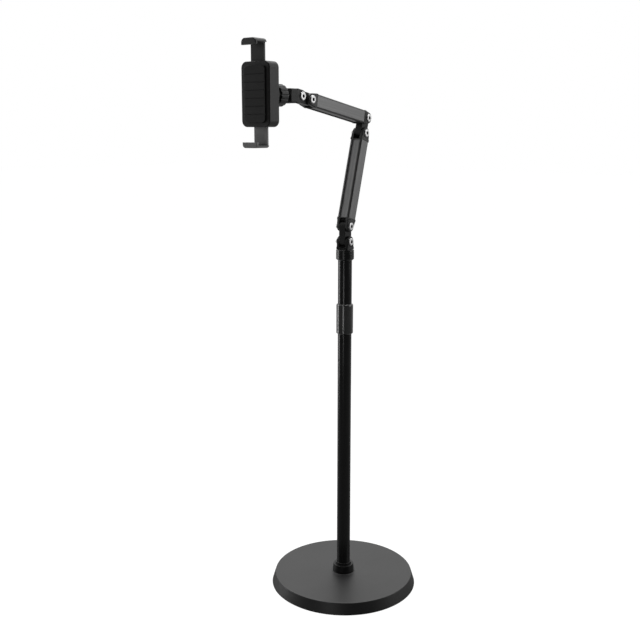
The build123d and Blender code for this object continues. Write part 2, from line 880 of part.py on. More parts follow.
def front_pad():
    """Silicone pad with cross grooves that the tablet's back rests on."""
    top = housing_front + front_pad_thickness
    width = housing_width - 2 * front_pad_side_inset
    height = housing_height - 2 * front_pad_end_inset
    pad = slab(width, height, front_pad_corner, housing_front, top)
    groove_floor = top - front_pad_groove_depth
    groove = block(width + overrun, front_pad_groove_width, groove_floor, top + overrun)
    for number in range(front_pad_groove_count):
        offset = (number - (front_pad_groove_count - 1) / 2) * front_pad_groove_pitch
        pad -= Pos(0, offset, 0) * groove
    return pad


# Jaws: the upper one is made in place, and the lower one is its mirror in another layer
def jaw(thickness, corner, slide_back, lug_side, end):
    """Hooked jaw on its slide, opening towards the middle of the holder."""
    inner = half_gap + jaw_pad_thickness
    outer = half_gap + thickness
    lip_tip = half_gap - jaw_lip_overlap
    front = Pos(0, (lip_tip + outer) / 2) * Rectangle(jaw_width, outer - lip_tip)
    front = fillet(front.vertices().group_by(Axis.Y)[-1], corner)
    hook_back = min(jaw_back, slide_back)
    hook = extrude(Pos(0, 0, hook_back) * front, amount=jaw_front - hook_back)
    hook = fillet(hook.faces().sort_by(Axis.Z)[-1].edges(), jaw_edge_round)
    clear_height = inner - lip_tip + overrun
    clear = block(jaw_width + overrun, clear_height, hook_back - overrun, glass_plane)
    hook -= Pos(0, inner - clear_height / 2, 0) * clear
    slide_length = slide_tail + inner + slide_root
    plate = block(slide_width, slide_length, slide_back, slide_back + slide_thickness)
    hook += Pos(0, slide_length / 2 - slide_tail, 0) * plate
    lug_width = lug_reach + slide_root
    lug = block(lug_width, lug_height, slide_back, slide_back + slide_thickness)
    lug_x = slide_width / 2 + lug_reach - lug_width / 2
    hook += Pos(lug_side * lug_x, lug_offset, 0) * lug
    return hook if end > 0 else mirror(hook, Plane.XZ)


def jaw_pad(slide_back, end):
    """Ribbed silicone strip on a jaw's inner face."""
    low = slide_back + slide_thickness
    width = jaw_width - 2 * jaw_pad_side_inset
    pad = Pos(0, half_gap + jaw_pad_thickness / 2, 0) * block(width, jaw_pad_thickness, low, glass_plane)
    pitch = (glass_plane - low) / (jaw_pad_rib_count + 1)
    groove = block(width + overrun, 2 * jaw_pad_rib_depth, 0, jaw_pad_rib_width)
    for number in range(jaw_pad_rib_count):
        start = low + (number + 1) * pitch - jaw_pad_rib_width / 2
        pad -= Pos(0, half_gap, start) * groove
    return pad if end > 0 else mirror(pad, Plane.XZ)


def jaw_spring(slide_back, side, end):
    """Tension spring between a slide's lug and a post at the housing's far end."""
    coil_radius = (spring_diameter - spring_wire) / 2
    post_edge = spring_post_height - spring_post_diameter / 2
    low = -post_edge + spring_end_gap + spring_wire / 2
    high = lug_offset - lug_height / 2 - spring_end_gap - spring_wire / 2
    length = high - low
    path = Helix(pitch=length / spring_turn_count, height=length, radius=coil_radius)
    section = Plane(origin=path @ 0, z_dir=path % 0) * Circle(spring_wire / 2)
    coil = Rot(-90, 0, 0) * sweep(section, path=path)
    layer = slide_back + slide_thickness / 2
    coil = Pos(side * spring_offset, low, layer) * coil
    return coil if end > 0 else mirror(coil, Plane.XZ)


# Every node, in place
nodes = {
    "base_pad": base_pad(),
    "base_weight": base_weight(),
    "base_cover": base_cover(),
    "foot_bolt": foot_bolt(),
    "foot_washer": foot_washer(),
    "foot_plug": foot_plug(),
    "pole_hub": pole_hub(),
    "lower_tube": lower_tube(),
    "collet": collet(),
    "lock_collar": lock_collar(),
    "inner_mast": inner_mast(),
    "mast_slider": mast_slider(),
    "mast_sleeves": mast_sleeves(),
    "upper_tube": upper_tube(),
    "top_collar": top_collar(),
    "pan_bush": pan_bush(),
    "head_clevis": head_clevis(),
    "pan_spindle": pan_spindle(),
    "pan_circlip": pan_circlip(),
    "pan_washer": pan_washer(),
    "head_screw": leaning(pivot_screw(), head_pivot, 0),
    "head_nut": leaning(pivot_nut(), head_pivot, 0),
}
nodes.update(link_nodes("base_link", head_pivot, 0))
nodes.update(arm_nodes("lower_arm", "bottom", "top", lower_arm_pivot, lower_arm_angle))
nodes.update(link_nodes("elbow_link", elbow_pivot, elbow_link_angle))
nodes.update(arm_nodes("upper_arm", "rear", "front", upper_arm_pivot, upper_arm_angle))
nodes.update(link_nodes("front_link", front_pivot, front_link_angle))

holder_pieces = {
    "mount_knuckle": mount_knuckle(),
    "mount_screw": pivot_screw(),
    "mount_nut": pivot_nut(),
    "ball_stud": ball_stud(),
    "lock_ring": lock_ring(),
    "socket_cup": socket_cup(),
    "roll_washer": roll_washer(),
    "roll_screw": roll_screw(),
    "holder_rear_shell": holder_rear_shell(),
    "holder_front_shell": holder_front_shell(),
    "shell_screws": shell_screws(),
    "front_pad": front_pad(),
    "upper_jaw": jaw(upper_jaw_thickness, upper_jaw_corner, upper_slide_back, 1, 1),
    "upper_jaw_pad": jaw_pad(upper_slide_back, 1),
    "upper_jaw_spring": jaw_spring(upper_slide_back, 1, 1),
    "lower_jaw": jaw(lower_jaw_thickness, lower_jaw_corner, lower_slide_back, -1, -1),
    "lower_jaw_pad": jaw_pad(lower_slide_back, -1),
    "lower_jaw_spring": jaw_spring(lower_slide_back, -1, -1),
}
for name, shape in holder_pieces.items():
    nodes[name] = leaning(shape, mount_pivot, holder_angle)

for name, shape in nodes.items():
    export_step(shape, f"parts/{name}.step")

print(len(nodes), "nodes")
for name, pivot in (("head", head_pivot), ("lower arm", lower_arm_pivot), ("elbow", elbow_pivot),
                    ("upper arm", upper_arm_pivot), ("front", front_pivot), ("mount", mount_pivot)):
    print(name, "pivot", round(pivot.Y, 3), round(pivot.Z, 3))
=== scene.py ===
# %% [markdown]
# This lesson dresses a telescopic floor stand: a heavy round base, a black pole with a twist lock,
# two folding arms and a spring clamp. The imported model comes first, because every pivot and height
# is read from it, so nothing has to be fitted by eye later.

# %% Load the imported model
import json
from math import acos, atan2, cos, degrees, hypot, pi, radians, sin, sqrt

import bmesh
import bpy
from mathutils import Matrix, Vector


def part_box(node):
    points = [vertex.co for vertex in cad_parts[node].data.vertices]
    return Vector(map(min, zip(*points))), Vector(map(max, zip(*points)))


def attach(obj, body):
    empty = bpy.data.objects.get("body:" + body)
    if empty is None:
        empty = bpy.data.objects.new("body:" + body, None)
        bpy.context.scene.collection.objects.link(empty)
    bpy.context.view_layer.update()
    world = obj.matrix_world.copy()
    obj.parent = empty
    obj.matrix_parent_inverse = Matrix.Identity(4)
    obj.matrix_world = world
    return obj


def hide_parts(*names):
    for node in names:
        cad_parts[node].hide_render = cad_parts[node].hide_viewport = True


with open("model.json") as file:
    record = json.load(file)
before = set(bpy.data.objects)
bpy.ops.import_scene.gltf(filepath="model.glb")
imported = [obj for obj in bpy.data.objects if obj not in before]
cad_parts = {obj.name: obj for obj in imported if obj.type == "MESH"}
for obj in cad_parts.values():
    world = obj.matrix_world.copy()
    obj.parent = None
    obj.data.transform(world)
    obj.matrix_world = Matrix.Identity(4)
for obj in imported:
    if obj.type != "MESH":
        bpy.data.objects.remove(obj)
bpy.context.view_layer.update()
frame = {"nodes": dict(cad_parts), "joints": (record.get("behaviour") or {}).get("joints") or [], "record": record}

mm = 0.001
joints = {joint["name"]: joint for joint in frame["joints"]}


def pivot_of(joint):
    return Vector(joints[joint]["pos_m"])


# %% [markdown]
# The camera stands a little above the clamp, in front and to the right, and looks down by twelve
# degrees. Its place was found by matching the pivots, the pole and the base's outline, so it is
# set by numbers and not by aiming at the object. The level directions towards it and to its right
# are kept, because the floor and the lamps are set by them.

# %% Camera
camera_place = Vector((0.8559, -1.2350, 0.7807))
camera_look = Vector((-0.5797, 0.7893, -0.2025))
camera_data = bpy.data.cameras.new("camera")
camera_data.lens = 51.67
camera_data.sensor_width = 36.0
camera = bpy.data.objects.new("camera", camera_data)
bpy.context.scene.collection.objects.link(camera)
camera.location = camera_place
camera.rotation_euler = camera_look.to_track_quat("-Z", "Y").to_euler()
bpy.context.scene.camera = camera
up = Vector((0, 0, 1))
to_camera = Vector((-camera_look.x, -camera_look.y, 0)).normalized()
to_right = Vector((-to_camera.y, to_camera.x, 0))
print("camera at", tuple(round(value, 3) for value in camera_place))

# %% [markdown]
# Every piece is made the same way: a primitive is added, shaped in edit mode, given its edges and
# then set in place. These helpers hold the steps that repeat. The most important habit is to clear
# the selection first, because an operator works on everything that is selected.

# %% Selection helpers


def clear_selection():
    if bpy.context.mode != "OBJECT":
        bpy.ops.object.mode_set(mode="OBJECT")
    bpy.ops.object.select_all(action="DESELECT")


def activate(piece):
    clear_selection()
    piece.select_set(True)
    bpy.context.view_layer.objects.active = piece


def apply_place(piece):
    activate(piece)
    bpy.ops.object.transform_apply(location=True, rotation=True, scale=True)


def pick(piece, kind, wanted):
    """Opens edit mode with the wanted vertices, edges or faces selected."""
    activate(piece)
    bpy.ops.object.mode_set(mode="EDIT")
    bpy.ops.mesh.select_mode(type=kind)
    bpy.ops.mesh.select_all(action="DESELECT")
    mesh = bmesh.from_edit_mesh(piece.data)
    parts = {"VERT": mesh.verts, "EDGE": mesh.edges, "FACE": mesh.faces}[kind]
    for part in [part for part in parts if wanted(part)]:
        part.select_set(True)
    bmesh.update_edit_mesh(piece.data)


def leave_edit():
    bpy.ops.object.mode_set(mode="OBJECT")


def every(part):
    return True


print("selection helpers ready")

# %% [markdown]
# Turned pieces, such as the tubes, collars and screws, are made like clay on a wheel: a ring of
# vertices is extruded from corner to corner of the piece's section, and resized at each corner.
# A closed section comes back to its first corner and leaves a bore. A solid one starts as a disc.

# %% Turned pieces
turning_steps = 96
weld = 0.002 * mm


def take_new(name):
    piece = bpy.context.object
    piece.name = name
    piece.data.name = name
    return piece


def rise(climb):
    """Extrudes the selection straight up, or down for a negative climb."""
    bpy.ops.mesh.extrude_region_move(TRANSFORM_OT_translate={"value": (0, 0, climb)})


def turned(name, section, steps=turning_steps, solid=False):
    """A round piece about Z from (radius, height) corners."""
    clear_selection()
    radius, height = section[0]
    fill = "NGON" if solid else "NOTHING"
    bpy.ops.mesh.primitive_circle_add(
        vertices=steps, radius=radius, fill_type=fill, location=(0, 0, height)
    )
    piece = take_new(name)
    apply_place(piece)
    pick(piece, "FACE" if solid else "EDGE", every)
    for next_radius, next_height in section[1:] + ([] if solid else section[:1]):
        rise(next_height - height)
        growth = next_radius / radius
        bpy.ops.transform.resize(value=(growth, growth, 1), center_override=(0, 0, next_height))
        radius, height = next_radius, next_height
    bpy.ops.mesh.select_all(action="SELECT")
    bpy.ops.mesh.remove_doubles(threshold=weld)
    bpy.ops.mesh.normals_make_consistent(inside=False)
    leave_edit()
    return piece


print("a turned piece has", turning_steps, "steps unless it says otherwise")

# %% [markdown]
# An arm leans, but its brushed lines have to run along it. So each piece keeps the coordinates
# that it was modelled in, as an attribute on its vertices, before it is leant and moved to its
# pivot. The materials read that attribute, and the grain stays with the piece.

# %% Smooth faces and kept places
smooth_angle = radians(32)


def prepare(piece):
    """Smooths the rounded parts, keeps the flat ones flat, and keeps the piece's own places."""
    activate(piece)
    bpy.ops.object.shade_smooth_by_angle(angle=smooth_angle)
    change = piece.modifiers.new("flat faces", "WEIGHTED_NORMAL")
    change.keep_sharp = True
    bpy.ops.object.modifier_apply(modifier=change.name)
    vertices = piece.data.vertices
    places = [0.0] * (3 * len(vertices))
    vertices.foreach_get("co", places)
    kept = piece.data.attributes.new("local_place", "FLOAT_VECTOR", "POINT")
    kept.data.foreach_set("vector", places)
    return piece


print("faces are smoothed across less than", round(degrees(smooth_angle)), "degrees")

# %% [markdown]
# A finished piece is leant and moved, gets its finish, and is attached to the body of the imported
# model that carries it, and the node it stands for is hidden. Its open edges are counted, because a
# closed piece has none, and a hole is easier to mend at once than to find in a picture.

# %% Setting a piece in place
finishes = {}


def lean_to(piece, pivot, lean):
    """Leans a piece about X, in degrees, and moves its origin to the pivot."""
    piece.matrix_world = Matrix.Translation(pivot) @ Matrix.Rotation(radians(lean), 4, "X")
    apply_place(piece)
    return piece


def open_edges(piece):
    mesh = bmesh.new()
    mesh.from_mesh(piece.data)
    count = sum(1 for edge in mesh.edges if not edge.is_manifold)
    mesh.free()
    return count


def dress(rows, pivot=(0, 0, 0), lean=0.0):
    """Sets pieces in place; a row is a piece, its finish, its body and the node it stands for."""
    for piece, finish, body, node_name in rows:
        lean_to(piece, pivot, lean)
        piece.data.materials.clear()
        piece.data.materials.append(finishes[finish])
        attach(piece, body)
        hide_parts(node_name)
        size = [round(side / mm, 1) for side in piece.dimensions]
        faces = len(piece.data.polygons)
        print(piece.name, size, "mm,", faces, "faces,", open_edges(piece), "open edges")


print("placing helpers ready")

# %% [markdown]
# A material is a tree of nodes. Two helpers are enough to write one down: the first fills a socket,
# with a value or with a link, and the second adds a node with its settings and inputs.

# %% Nodes and links


def feed(tree, socket, value):
    """Links a socket to another one, or sets it to a plain value."""
    if isinstance(value, bpy.types.NodeSocket):
        tree.links.new(value, socket)
    else:
        socket.default_value = value


def add_node(tree, kind, values=(), **settings):
    """Adds a node, sets its properties and then feeds its inputs by name or number."""
    node = tree.nodes.new(kind)
    for key, value in settings.items():
        setattr(node, key, value)
    for key, value in dict(values).items():
        feed(tree, node.inputs[key], value)
    return node


print("nodes and links ready")

# %% [markdown]
# Most of a finish is arithmetic on noises. A sum or product joins two masks, and a ramp picks the
# part of a noise that matters and holds the rest at its ends.

# %% Sums, ramps and noises


def math(tree, operation, first, second):
    values = {0: first, 1: second}
    return add_node(tree, "ShaderNodeMath", values, operation=operation).outputs[0]


def ramp(tree, source, low, high, start=0.0, end=1.0):
    """Maps a value from low..high to start..end and holds it there."""
    values = {0: source, 1: low, 2: high, 3: start, 4: end}
    return add_node(tree, "ShaderNodeMapRange", values, clamp=True).outputs[0]


def noise(tree, vector, scale, detail, rough):
    values = {"Vector": vector, "Scale": scale, "Detail": detail, "Roughness": rough}
    return add_node(tree, "ShaderNodeTexNoise", values).outputs[0]


print("sums, ramps and noises ready")

# %% [markdown]
# Five effects are shared by the finishes: the grain of moulded plastic and powder paint, wear
# along edges, settled dust, brushed lines and turning rings. Each is a node group that is built
# once. A group gives out only heights and masks, and every material mixes them in its own way.

# %% Groups
vector_kind, number_kind = "NodeSocketVector", "NodeSocketFloat"


def new_group(name, inputs, outputs):
    """A group whose first input is a place; the others are names with their usual values."""
    group = bpy.data.node_groups.new(name, "ShaderNodeTree")
    face = group.interface
    face.new_socket(name="Vector", in_out="INPUT", socket_type=vector_kind)
    for label, value in inputs:
        socket = face.new_socket(name=label, in_out="INPUT", socket_type=number_kind)
        socket.default_value = value
    for label in outputs:
        face.new_socket(name=label, in_out="OUTPUT", socket_type=number_kind)
    start, end = group.nodes.new("NodeGroupInput"), group.nodes.new("NodeGroupOutput")
    return group, list(start.outputs)[:1 + len(inputs)], end


def give_out(group, end, *values):
    for socket, value in zip(end.inputs, values):
        group.links.new(value, socket)
    print("group", group.name)
    return group


print("groups ready")

# %% [markdown]
# Moulded plastic and powder paint have a fine grain, with broad patches that are a shade lighter or
# darker. Two noises do it: the fine one becomes the bump, and the broad one moves the colour.

# %% Moulded grain


def make_grain_group():
    inputs = [("Grains per metre", 1500), ("Patches per metre", 25)]
    group, (place, grains, patches), end = new_group("moulded_grain", inputs, ["Height", "Mottle"])
    fine = noise(group, place, grains, 2.0, 0.6)
    broad = noise(group, place, patches, 4.0, 0.6)
    return give_out(group, end, fine, ramp(group, broad, 0.3, 0.7))


grain_group = make_grain_group()

# %% [markdown]
# Edges are touched most, so they wear first. A Bevel node rounds the normal near an edge, and where
# it differs from the plain normal there is an edge. A noise breaks the line up, so that the wear
# looks rubbed and not drawn.

# %% Edge wear
wear_width = 0.6 * mm


def dot(tree, first, second):
    values = {0: first, 1: second}
    node = add_node(tree, "ShaderNodeVectorMath", values, operation="DOT_PRODUCT")
    return node.outputs["Value"]


def make_wear_group():
    inputs = [("Width", wear_width), ("Breaks per metre", 220)]
    group, (place, width, breaks), end = new_group("edge_wear", inputs, ["Mask"])
    rounded = add_node(group, "ShaderNodeBevel", {"Radius": width}, samples=4)
    plain = group.nodes.new("ShaderNodeNewGeometry")
    edge = ramp(group, dot(group, rounded.outputs[0], plain.outputs["Normal"]), 0.995, 0.88)
    broken = ramp(group, noise(group, place, breaks, 5.0, 0.65), 0.38, 0.62)
    return give_out(group, end, math(group, "MULTIPLY", edge, broken))


wear_group = make_wear_group()

# %% [markdown]
# Dust lies where it can settle, on faces that look up, as specks that gather in drifts. The mask is
# the upward part of the normal times a fine and a broad noise.

# %% Settled dust


def make_dust_group():
    group, (place, specks), end = new_group("settled_dust", [("Specks per metre", 900)], ["Mask"])
    surface = group.nodes.new("ShaderNodeNewGeometry")
    parts = add_node(group, "ShaderNodeSeparateXYZ", {0: surface.outputs["Normal"]})
    level = ramp(group, parts.outputs["Z"], 0.6, 1.0)
    fine = ramp(group, noise(group, place, specks, 2.0, 0.5), 0.52, 0.74)
    drifts = ramp(group, noise(group, place, 14.0, 3.0, 0.5), 0.35, 0.7, 0.2)
    mask = math(group, "MULTIPLY", level, math(group, "MULTIPLY", fine, drifts))
    return give_out(group, end, mask)


dust_group = make_dust_group()

# %% [markdown]
# Brushing leaves long fine scratches along a strip, so its noise is stretched along the piece's own
# Z. A second, broader noise groups the lines, as a worn brush does.

# %% Brushed lines
stretch = (1.0, 1.0, 0.006)


def make_brush_group():
    inputs, outputs = [("Lines per metre", 5000)], ["Height", "Tone"]
    group, (place, lines), end = new_group("brushed_lines", inputs, outputs)
    long = add_node(group, "ShaderNodeMapping", {"Vector": place, "Scale": stretch}).outputs[0]
    fine = noise(group, long, lines, 2.0, 0.7)
    broad = noise(group, long, math(group, "MULTIPLY", lines, 0.16), 3.0, 0.6)
    halves = [math(group, "MULTIPLY", part, 0.5) for part in (fine, broad)]
    return give_out(group, end, fine, ramp(group, math(group, "ADD", *halves), 0.36, 0.64))


brush_group = make_brush_group()

# %% [markdown]
# A lathe leaves rings, so their noise depends only on the distance from the piece's own axis.

# %% Turning rings


def far_from_axis(tree, vector):
    """How far a place is from the piece's own Z axis."""
    flat = add_node(tree, "ShaderNodeVectorMath", {0: vector, 1: (1, 1, 0)}, operation="MULTIPLY")
    far = add_node(tree, "ShaderNodeVectorMath", {0: flat.outputs[0]}, operation="LENGTH")
    return far.outputs["Value"]


def make_ring_group():
    inputs, outputs = [("Rings per metre", 3500)], ["Height", "Tone"]
    group, (place, rings_per_metre), end = new_group("turning_rings", inputs, outputs)
    spread = add_node(group, "ShaderNodeCombineXYZ", {0: far_from_axis(group, place)})
    rings = noise(group, spread.outputs[0], rings_per_metre, 1.0, 0.5)
    return give_out(group, end, rings, ramp(group, rings, 0.35, 0.65))


patterns = {"grain": grain_group, "brushed": brush_group, "turned": make_ring_group()}

# %% [markdown]
# The stand is black and grey, so a colour is a grey level, at most a little warm. It is mixed from
# sockets or plain colours by a mask, and the masks read the place that each piece has kept.

# %% Colours and places


def blend_colour(tree, share, first, second):
    """Mixes two colours, each a socket or a colour, by a share."""
    values = {0: share, 6: first, 7: second}
    return add_node(tree, "ShaderNodeMix", values, data_type="RGBA").outputs[2]


def grey(level, warmth=0.0):
    return (level * (1 + warmth), level, level * (1 - warmth), 1.0)


def own_place(tree):
    return add_node(tree, "ShaderNodeAttribute", attribute_name="local_place").outputs["Vector"]


dust_grey = grey(0.5, 0.03)
dust_dulls = 0.4
print("dust is", [round(part, 3) for part in dust_grey[:3]])

# %% [markdown]
# One function builds every finish, because they all follow one plan: a pattern moves the colour
# between two close tones, the grain bumps the surface, worn edges turn a little lighter and level
# faces gather dust. What makes each finish itself is in its values, which are written as a list of
# the maker's finishes below.

# %% The plan of a finish


def make_finish(
    name, tones, rough, warmth=(0.0, 0.0), metallic=0.0, specular=0.5, pattern="grain",
    fineness=1500, patches=25, bump=0.02, worn=0.3, worn_colour=0.2, dusty=0.06, slot=None,
    on_cad=False,
):
    """A material from two grey tones and the values that set it apart; its bump is in mm."""
    material = bpy.data.materials.new(name)
    material["slot"] = slot or name
    material.use_nodes = True
    tree = material.node_tree
    place = tree.nodes.new("ShaderNodeTexCoord").outputs["Object"] if on_cad else own_place(tree)
    values = {0: place, 1: fineness}
    if pattern == "grain":
        values[2] = patches
    group = add_node(tree, "ShaderNodeGroup", values, node_tree=patterns[pattern])
    height, tone = group.outputs[0], group.outputs[1]
    wear = add_node(tree, "ShaderNodeGroup", {0: place}, node_tree=wear_group).outputs[0]
    dust = add_node(tree, "ShaderNodeGroup", {0: place}, node_tree=dust_group).outputs[0]
    wear, dust = math(tree, "MULTIPLY", wear, worn), math(tree, "MULTIPLY", dust, dusty)
    colour = blend_colour(tree, tone, *map(grey, tones, warmth))
    colour = blend_colour(tree, wear, colour, grey(worn_colour))
    colour = blend_colour(tree, dust, colour, dust_grey)
    dulled = math(tree, "MULTIPLY", dust, dust_dulls)
    bumped = add_node(
        tree, "ShaderNodeBump", {"Strength": 1.0, "Distance": bump * mm, "Height": height}
    )
    surface = {
        "Base Color": colour, "Normal": bumped.outputs[0], "Metallic": metallic,
        "Roughness": math(tree, "ADD", ramp(tree, tone, 0, 1, *rough), dulled),
        "Specular IOR Level": specular,
    }
    for key, value in surface.items():
        feed(tree, tree.nodes["Principled BSDF"].inputs[key], value)
    return material


def make_finishes(rows, **shared):
    for name, values in rows.items():
        finishes[name] = make_finish(name, **values, **shared)
    print(len(rows), "finishes:", ", ".join(rows))


print("finish plan ready")

# %% [markdown]
# The base is powder coated, which dries with a fine orange peel. The pole has a smoother satin
# paint, so it shows one clean band of light, and the mast inside it has the same paint, drawn in
# long lines by its sleeve. The rubber sheet under the base is dull.

# %% Paint and rubber
make_finishes({
    "base_paint": dict(
        tones=(0.003, 0.005), rough=(0.41, 0.48), specular=0.76, fineness=1400, patches=9,
        bump=0.03, worn=0.04, worn_colour=0.06, dusty=0.004,
    ),
    "base_rubber": dict(tones=(0.010, 0.016), rough=(0.75, 0.85), specular=0.3),
    "tube_paint": dict(
        tones=(0.012, 0.016), rough=(0.2, 0.26), specular=0.36, fineness=900, patches=30,
        bump=0.008, worn=0.1, worn_colour=0.1, dusty=0.02,
    ),
    "mast_steel": dict(
        tones=(0.014, 0.020), rough=(0.2, 0.28), metallic=0.4, pattern="brushed", fineness=2600,
        bump=0.004, worn=0.1,
    ),
})

# %% [markdown]
# The collars, the forks and the holder are moulded nylon, each with its own sheen: the collars come
# from polished moulds and the rest from textured ones. The lower jaw is the same plastic as the upper
# one, given a lighter grey as painted light for the light that falls on it from below. The strips that
# touch what is held are silicone, which is dull and gathers dust.

# %% Plastic and silicone
make_finishes({
    "hub_plastic": dict(
        tones=(0.008, 0.012), rough=(0.34, 0.42), specular=0.3, fineness=2200, worn=0.25,
    ),
    "collar_plastic": dict(
        tones=(0.042, 0.052), rough=(0.18, 0.24), specular=0.8, fineness=2400, bump=0.008,
        worn=0.2,
    ),
    "top_collar_plastic": dict(
        tones=(0.007, 0.010), rough=(0.24, 0.32), fineness=2400, bump=0.01, worn=0.22,
    ),
    "knuckle_plastic": dict(
        tones=(0.007, 0.010), rough=(0.34, 0.44), specular=0.3, fineness=2600, worn=0.25,
    ),
    "clevis_plastic": dict(
        tones=(0.028, 0.036), rough=(0.38, 0.48), specular=0.4, fineness=2600, bump=0.015,
        worn=0.25,
    ),
    "ring_plastic": dict(
        tones=(0.010, 0.015), rough=(0.36, 0.46), specular=0.4, fineness=2600,
    ),
    "socket_plastic": dict(
        tones=(0.014, 0.020), rough=(0.32, 0.42), specular=0.4, fineness=2600,
    ),
    "holder_plastic": dict(
        tones=(0.016, 0.022), rough=(0.40, 0.5), specular=0.4, fineness=2000, worn=0.22,
    ),
    "jaw_plastic": dict(
        tones=(0.045, 0.058), rough=(0.36, 0.46), specular=0.4, fineness=2200, bump=0.015,
        worn=0.25,
    ),
    # Painted light: the lower jaw shares the upper jaw's slot, and its lighter tones stand in for light from
    # below.
    "lower_jaw_plastic": dict(
        tones=(0.3, 0.36), rough=(0.4, 0.5), specular=0.4, fineness=2200, bump=0.015, worn=0.2,
        slot="jaw_plastic",
    ),
    "silicone": dict(
        tones=(0.012, 0.017), rough=(0.6, 0.72), specular=0.35, fineness=3200, worn=0.08,
        dusty=0.12,
    ),
})

# %% [markdown]
# The arms' strips are grey anodised aluminium, brushed along their length, and the beams under
# them are a darker grey of the same kind. The front and back strips are the same aluminium in lighter
# tones, as painted light. The links are painted black. The pivot screws are bright turned steel.

# %% Metal
strip_metal = dict(
    rough=(0.34, 0.46), metallic=0.8, pattern="brushed", fineness=4200, bump=0.006, worn=0.35,
    worn_colour=0.4, dusty=0.02,
)
make_finishes({
    "brushed_aluminium": dict(tones=(0.17, 0.24), **strip_metal),
    # Painted light: the side strips' aluminium in lighter tones, for the front and back strips.
    "inlay_aluminium": dict(tones=(0.20, 0.28), slot="brushed_aluminium", **strip_metal),
    "dark_anodised": dict(
        tones=(0.085, 0.11), rough=(0.34, 0.44), metallic=0.65, pattern="brushed", fineness=4200,
        bump=0.005, worn_colour=0.25, dusty=0.02,
    ),
    "link_metal": dict(
        tones=(0.010, 0.015), rough=(0.34, 0.44), metallic=0.3, specular=0.35, fineness=3000,
        bump=0.01,
    ),
    "bright_steel": dict(
        tones=(0.66, 0.8), rough=(0.36, 0.46), metallic=1.0, pattern="turned", fineness=2600,
        bump=0.003, worn=0.15, worn_colour=0.9, dusty=0.0,
    ),
    "black_screw_steel": dict(
        tones=(0.030, 0.05), rough=(0.3, 0.42), metallic=0.7, pattern="turned", fineness=3500,
        bump=0.004,
    ),
})

# %% [markdown]
# The socket of a screw holds grime and lies in shade, and both are painted into the colour: the steel
# is darkened near its own axis by the distance that the turning rings use, after the finish is made,
# because only the screws need it.

# %% Grime and painted shade in the screws' sockets
grime_and_shade_radius, clear_of_socket_radius = 2.4 * mm, 2.9 * mm
socket_grime_and_shade = grey(0.02)


def shade_socket(tree):
    colour_socket = tree.nodes["Principled BSDF"].inputs["Base Color"]
    colour = colour_socket.links[0].from_socket
    # Painted shade with grime: the colour goes dark towards the socket's axis.
    outside_socket = ramp(tree, far_from_axis(tree, own_place(tree)), grime_and_shade_radius, clear_of_socket_radius)
    feed(tree, colour_socket, blend_colour(tree, outside_socket, socket_grime_and_shade, colour))


shade_socket(finishes["bright_steel"].node_tree)
print("sockets darkened within", grime_and_shade_radius / mm, "mm")

# %% [markdown]
# Some pieces are never seen: the weight inside the cover, the bolt under it, the nylon guides in
# the pole and the springs in the holder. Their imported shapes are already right, so they keep them
# and only take their finish. They were never leant by this script, so it reads their own place.

# %% Hidden pieces keep their shape
hidden_finishes = {
    "zinc_steel": dict(
        tones=(0.42, 0.56), warmth=(0.02, -0.01), rough=(0.3, 0.45), metallic=1.0, fineness=700,
        patches=160,
    ),
    "cast_iron": dict(
        tones=(0.09, 0.16), warmth=(0.0, 0.03), rough=(0.6, 0.8), metallic=0.5, fineness=1100,
        bump=0.1,
    ),
    "plain_aluminium": dict(tones=(0.5, 0.62), rough=(0.3, 0.42), metallic=1.0),
    "spring_steel": dict(tones=(0.34, 0.46), rough=(0.22, 0.34), metallic=1.0, fineness=2600),
    "nylon": dict(tones=(0.52, 0.62), warmth=(0.02, 0.01), rough=(0.42, 0.5), fineness=1800),
    "black_nylon": dict(tones=(0.012, 0.018), rough=(0.42, 0.52), fineness=1800),
}
make_finishes(hidden_finishes, on_cad=True)
for row in frame["record"]["subparts"]:
    if row["material_slot"] in hidden_finishes:
        mesh = frame["nodes"][row["node"]].data
        mesh.materials.clear()
        mesh.materials.append(finishes[row["material_slot"]])
        print(row["node"], "is", row["material_slot"])

# %% [markdown]
# The base is a pressed steel cover over a cast weight, on a rubber sheet. The cover's wall slopes,
# its rim is rolled, and a low bead is pressed round the pole's foot. All of it is round, so it is
# turned, with many steps because its outline is long in the picture.

# %% Base cover
base_steps = 256
cover_low, cover_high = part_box("base_cover")
base_top = cover_high.z
cover_wall = 1.5 * mm
wall_slope = 5.5 * mm
bolt_hole = 5.3 * mm
rim_round = 1.1 * mm
bead_radius, bead_half, bead_height = 21.2 * mm, 0.8 * mm, 0.45 * mm
bead_form = ((-1.6, 0.0), (-1.0, 0.6), (-0.4, 1.0), (0.4, 1.0), (1.0, 0.6), (1.6, 0.0))


def arc(centre, radius, start, end, count):
    """Corners of an arc in a section; angles in degrees from the radius axis."""
    angles = [radians(start + (end - start) * step / count) for step in range(count + 1)]
    return [(centre[0] + radius * cos(turn), centre[1] + radius * sin(turn)) for turn in angles]


def make_base_cover():
    bottom, top = cover_high.x, cover_high.x - wall_slope
    ceiling = base_top - cover_wall
    section = [(bolt_hole, base_top)]
    for out, lift in bead_form:
        section.append((bead_radius + out * bead_half, base_top + lift * bead_height))
    section += arc((top - rim_round, base_top - rim_round), rim_round, 90, 18, 5)
    section += [(bottom, cover_low.z), (bottom - cover_wall, cover_low.z)]
    section += [(top - cover_wall, ceiling), (bolt_hole, ceiling)]
    return prepare(turned("base_shell", section, base_steps))


dress([(make_base_cover(), "base_paint", "base", "base_cover")])

# %% [markdown]
# The rubber sheet grips the floor with a ring that stands below a shallow groove. It is turned as a
# solid, from the middle of its underside outwards.

# %% Rubber sheet
foot_ring, foot_groove = 4.0 * mm, 0.5 * mm
pad_edge = 0.4 * mm


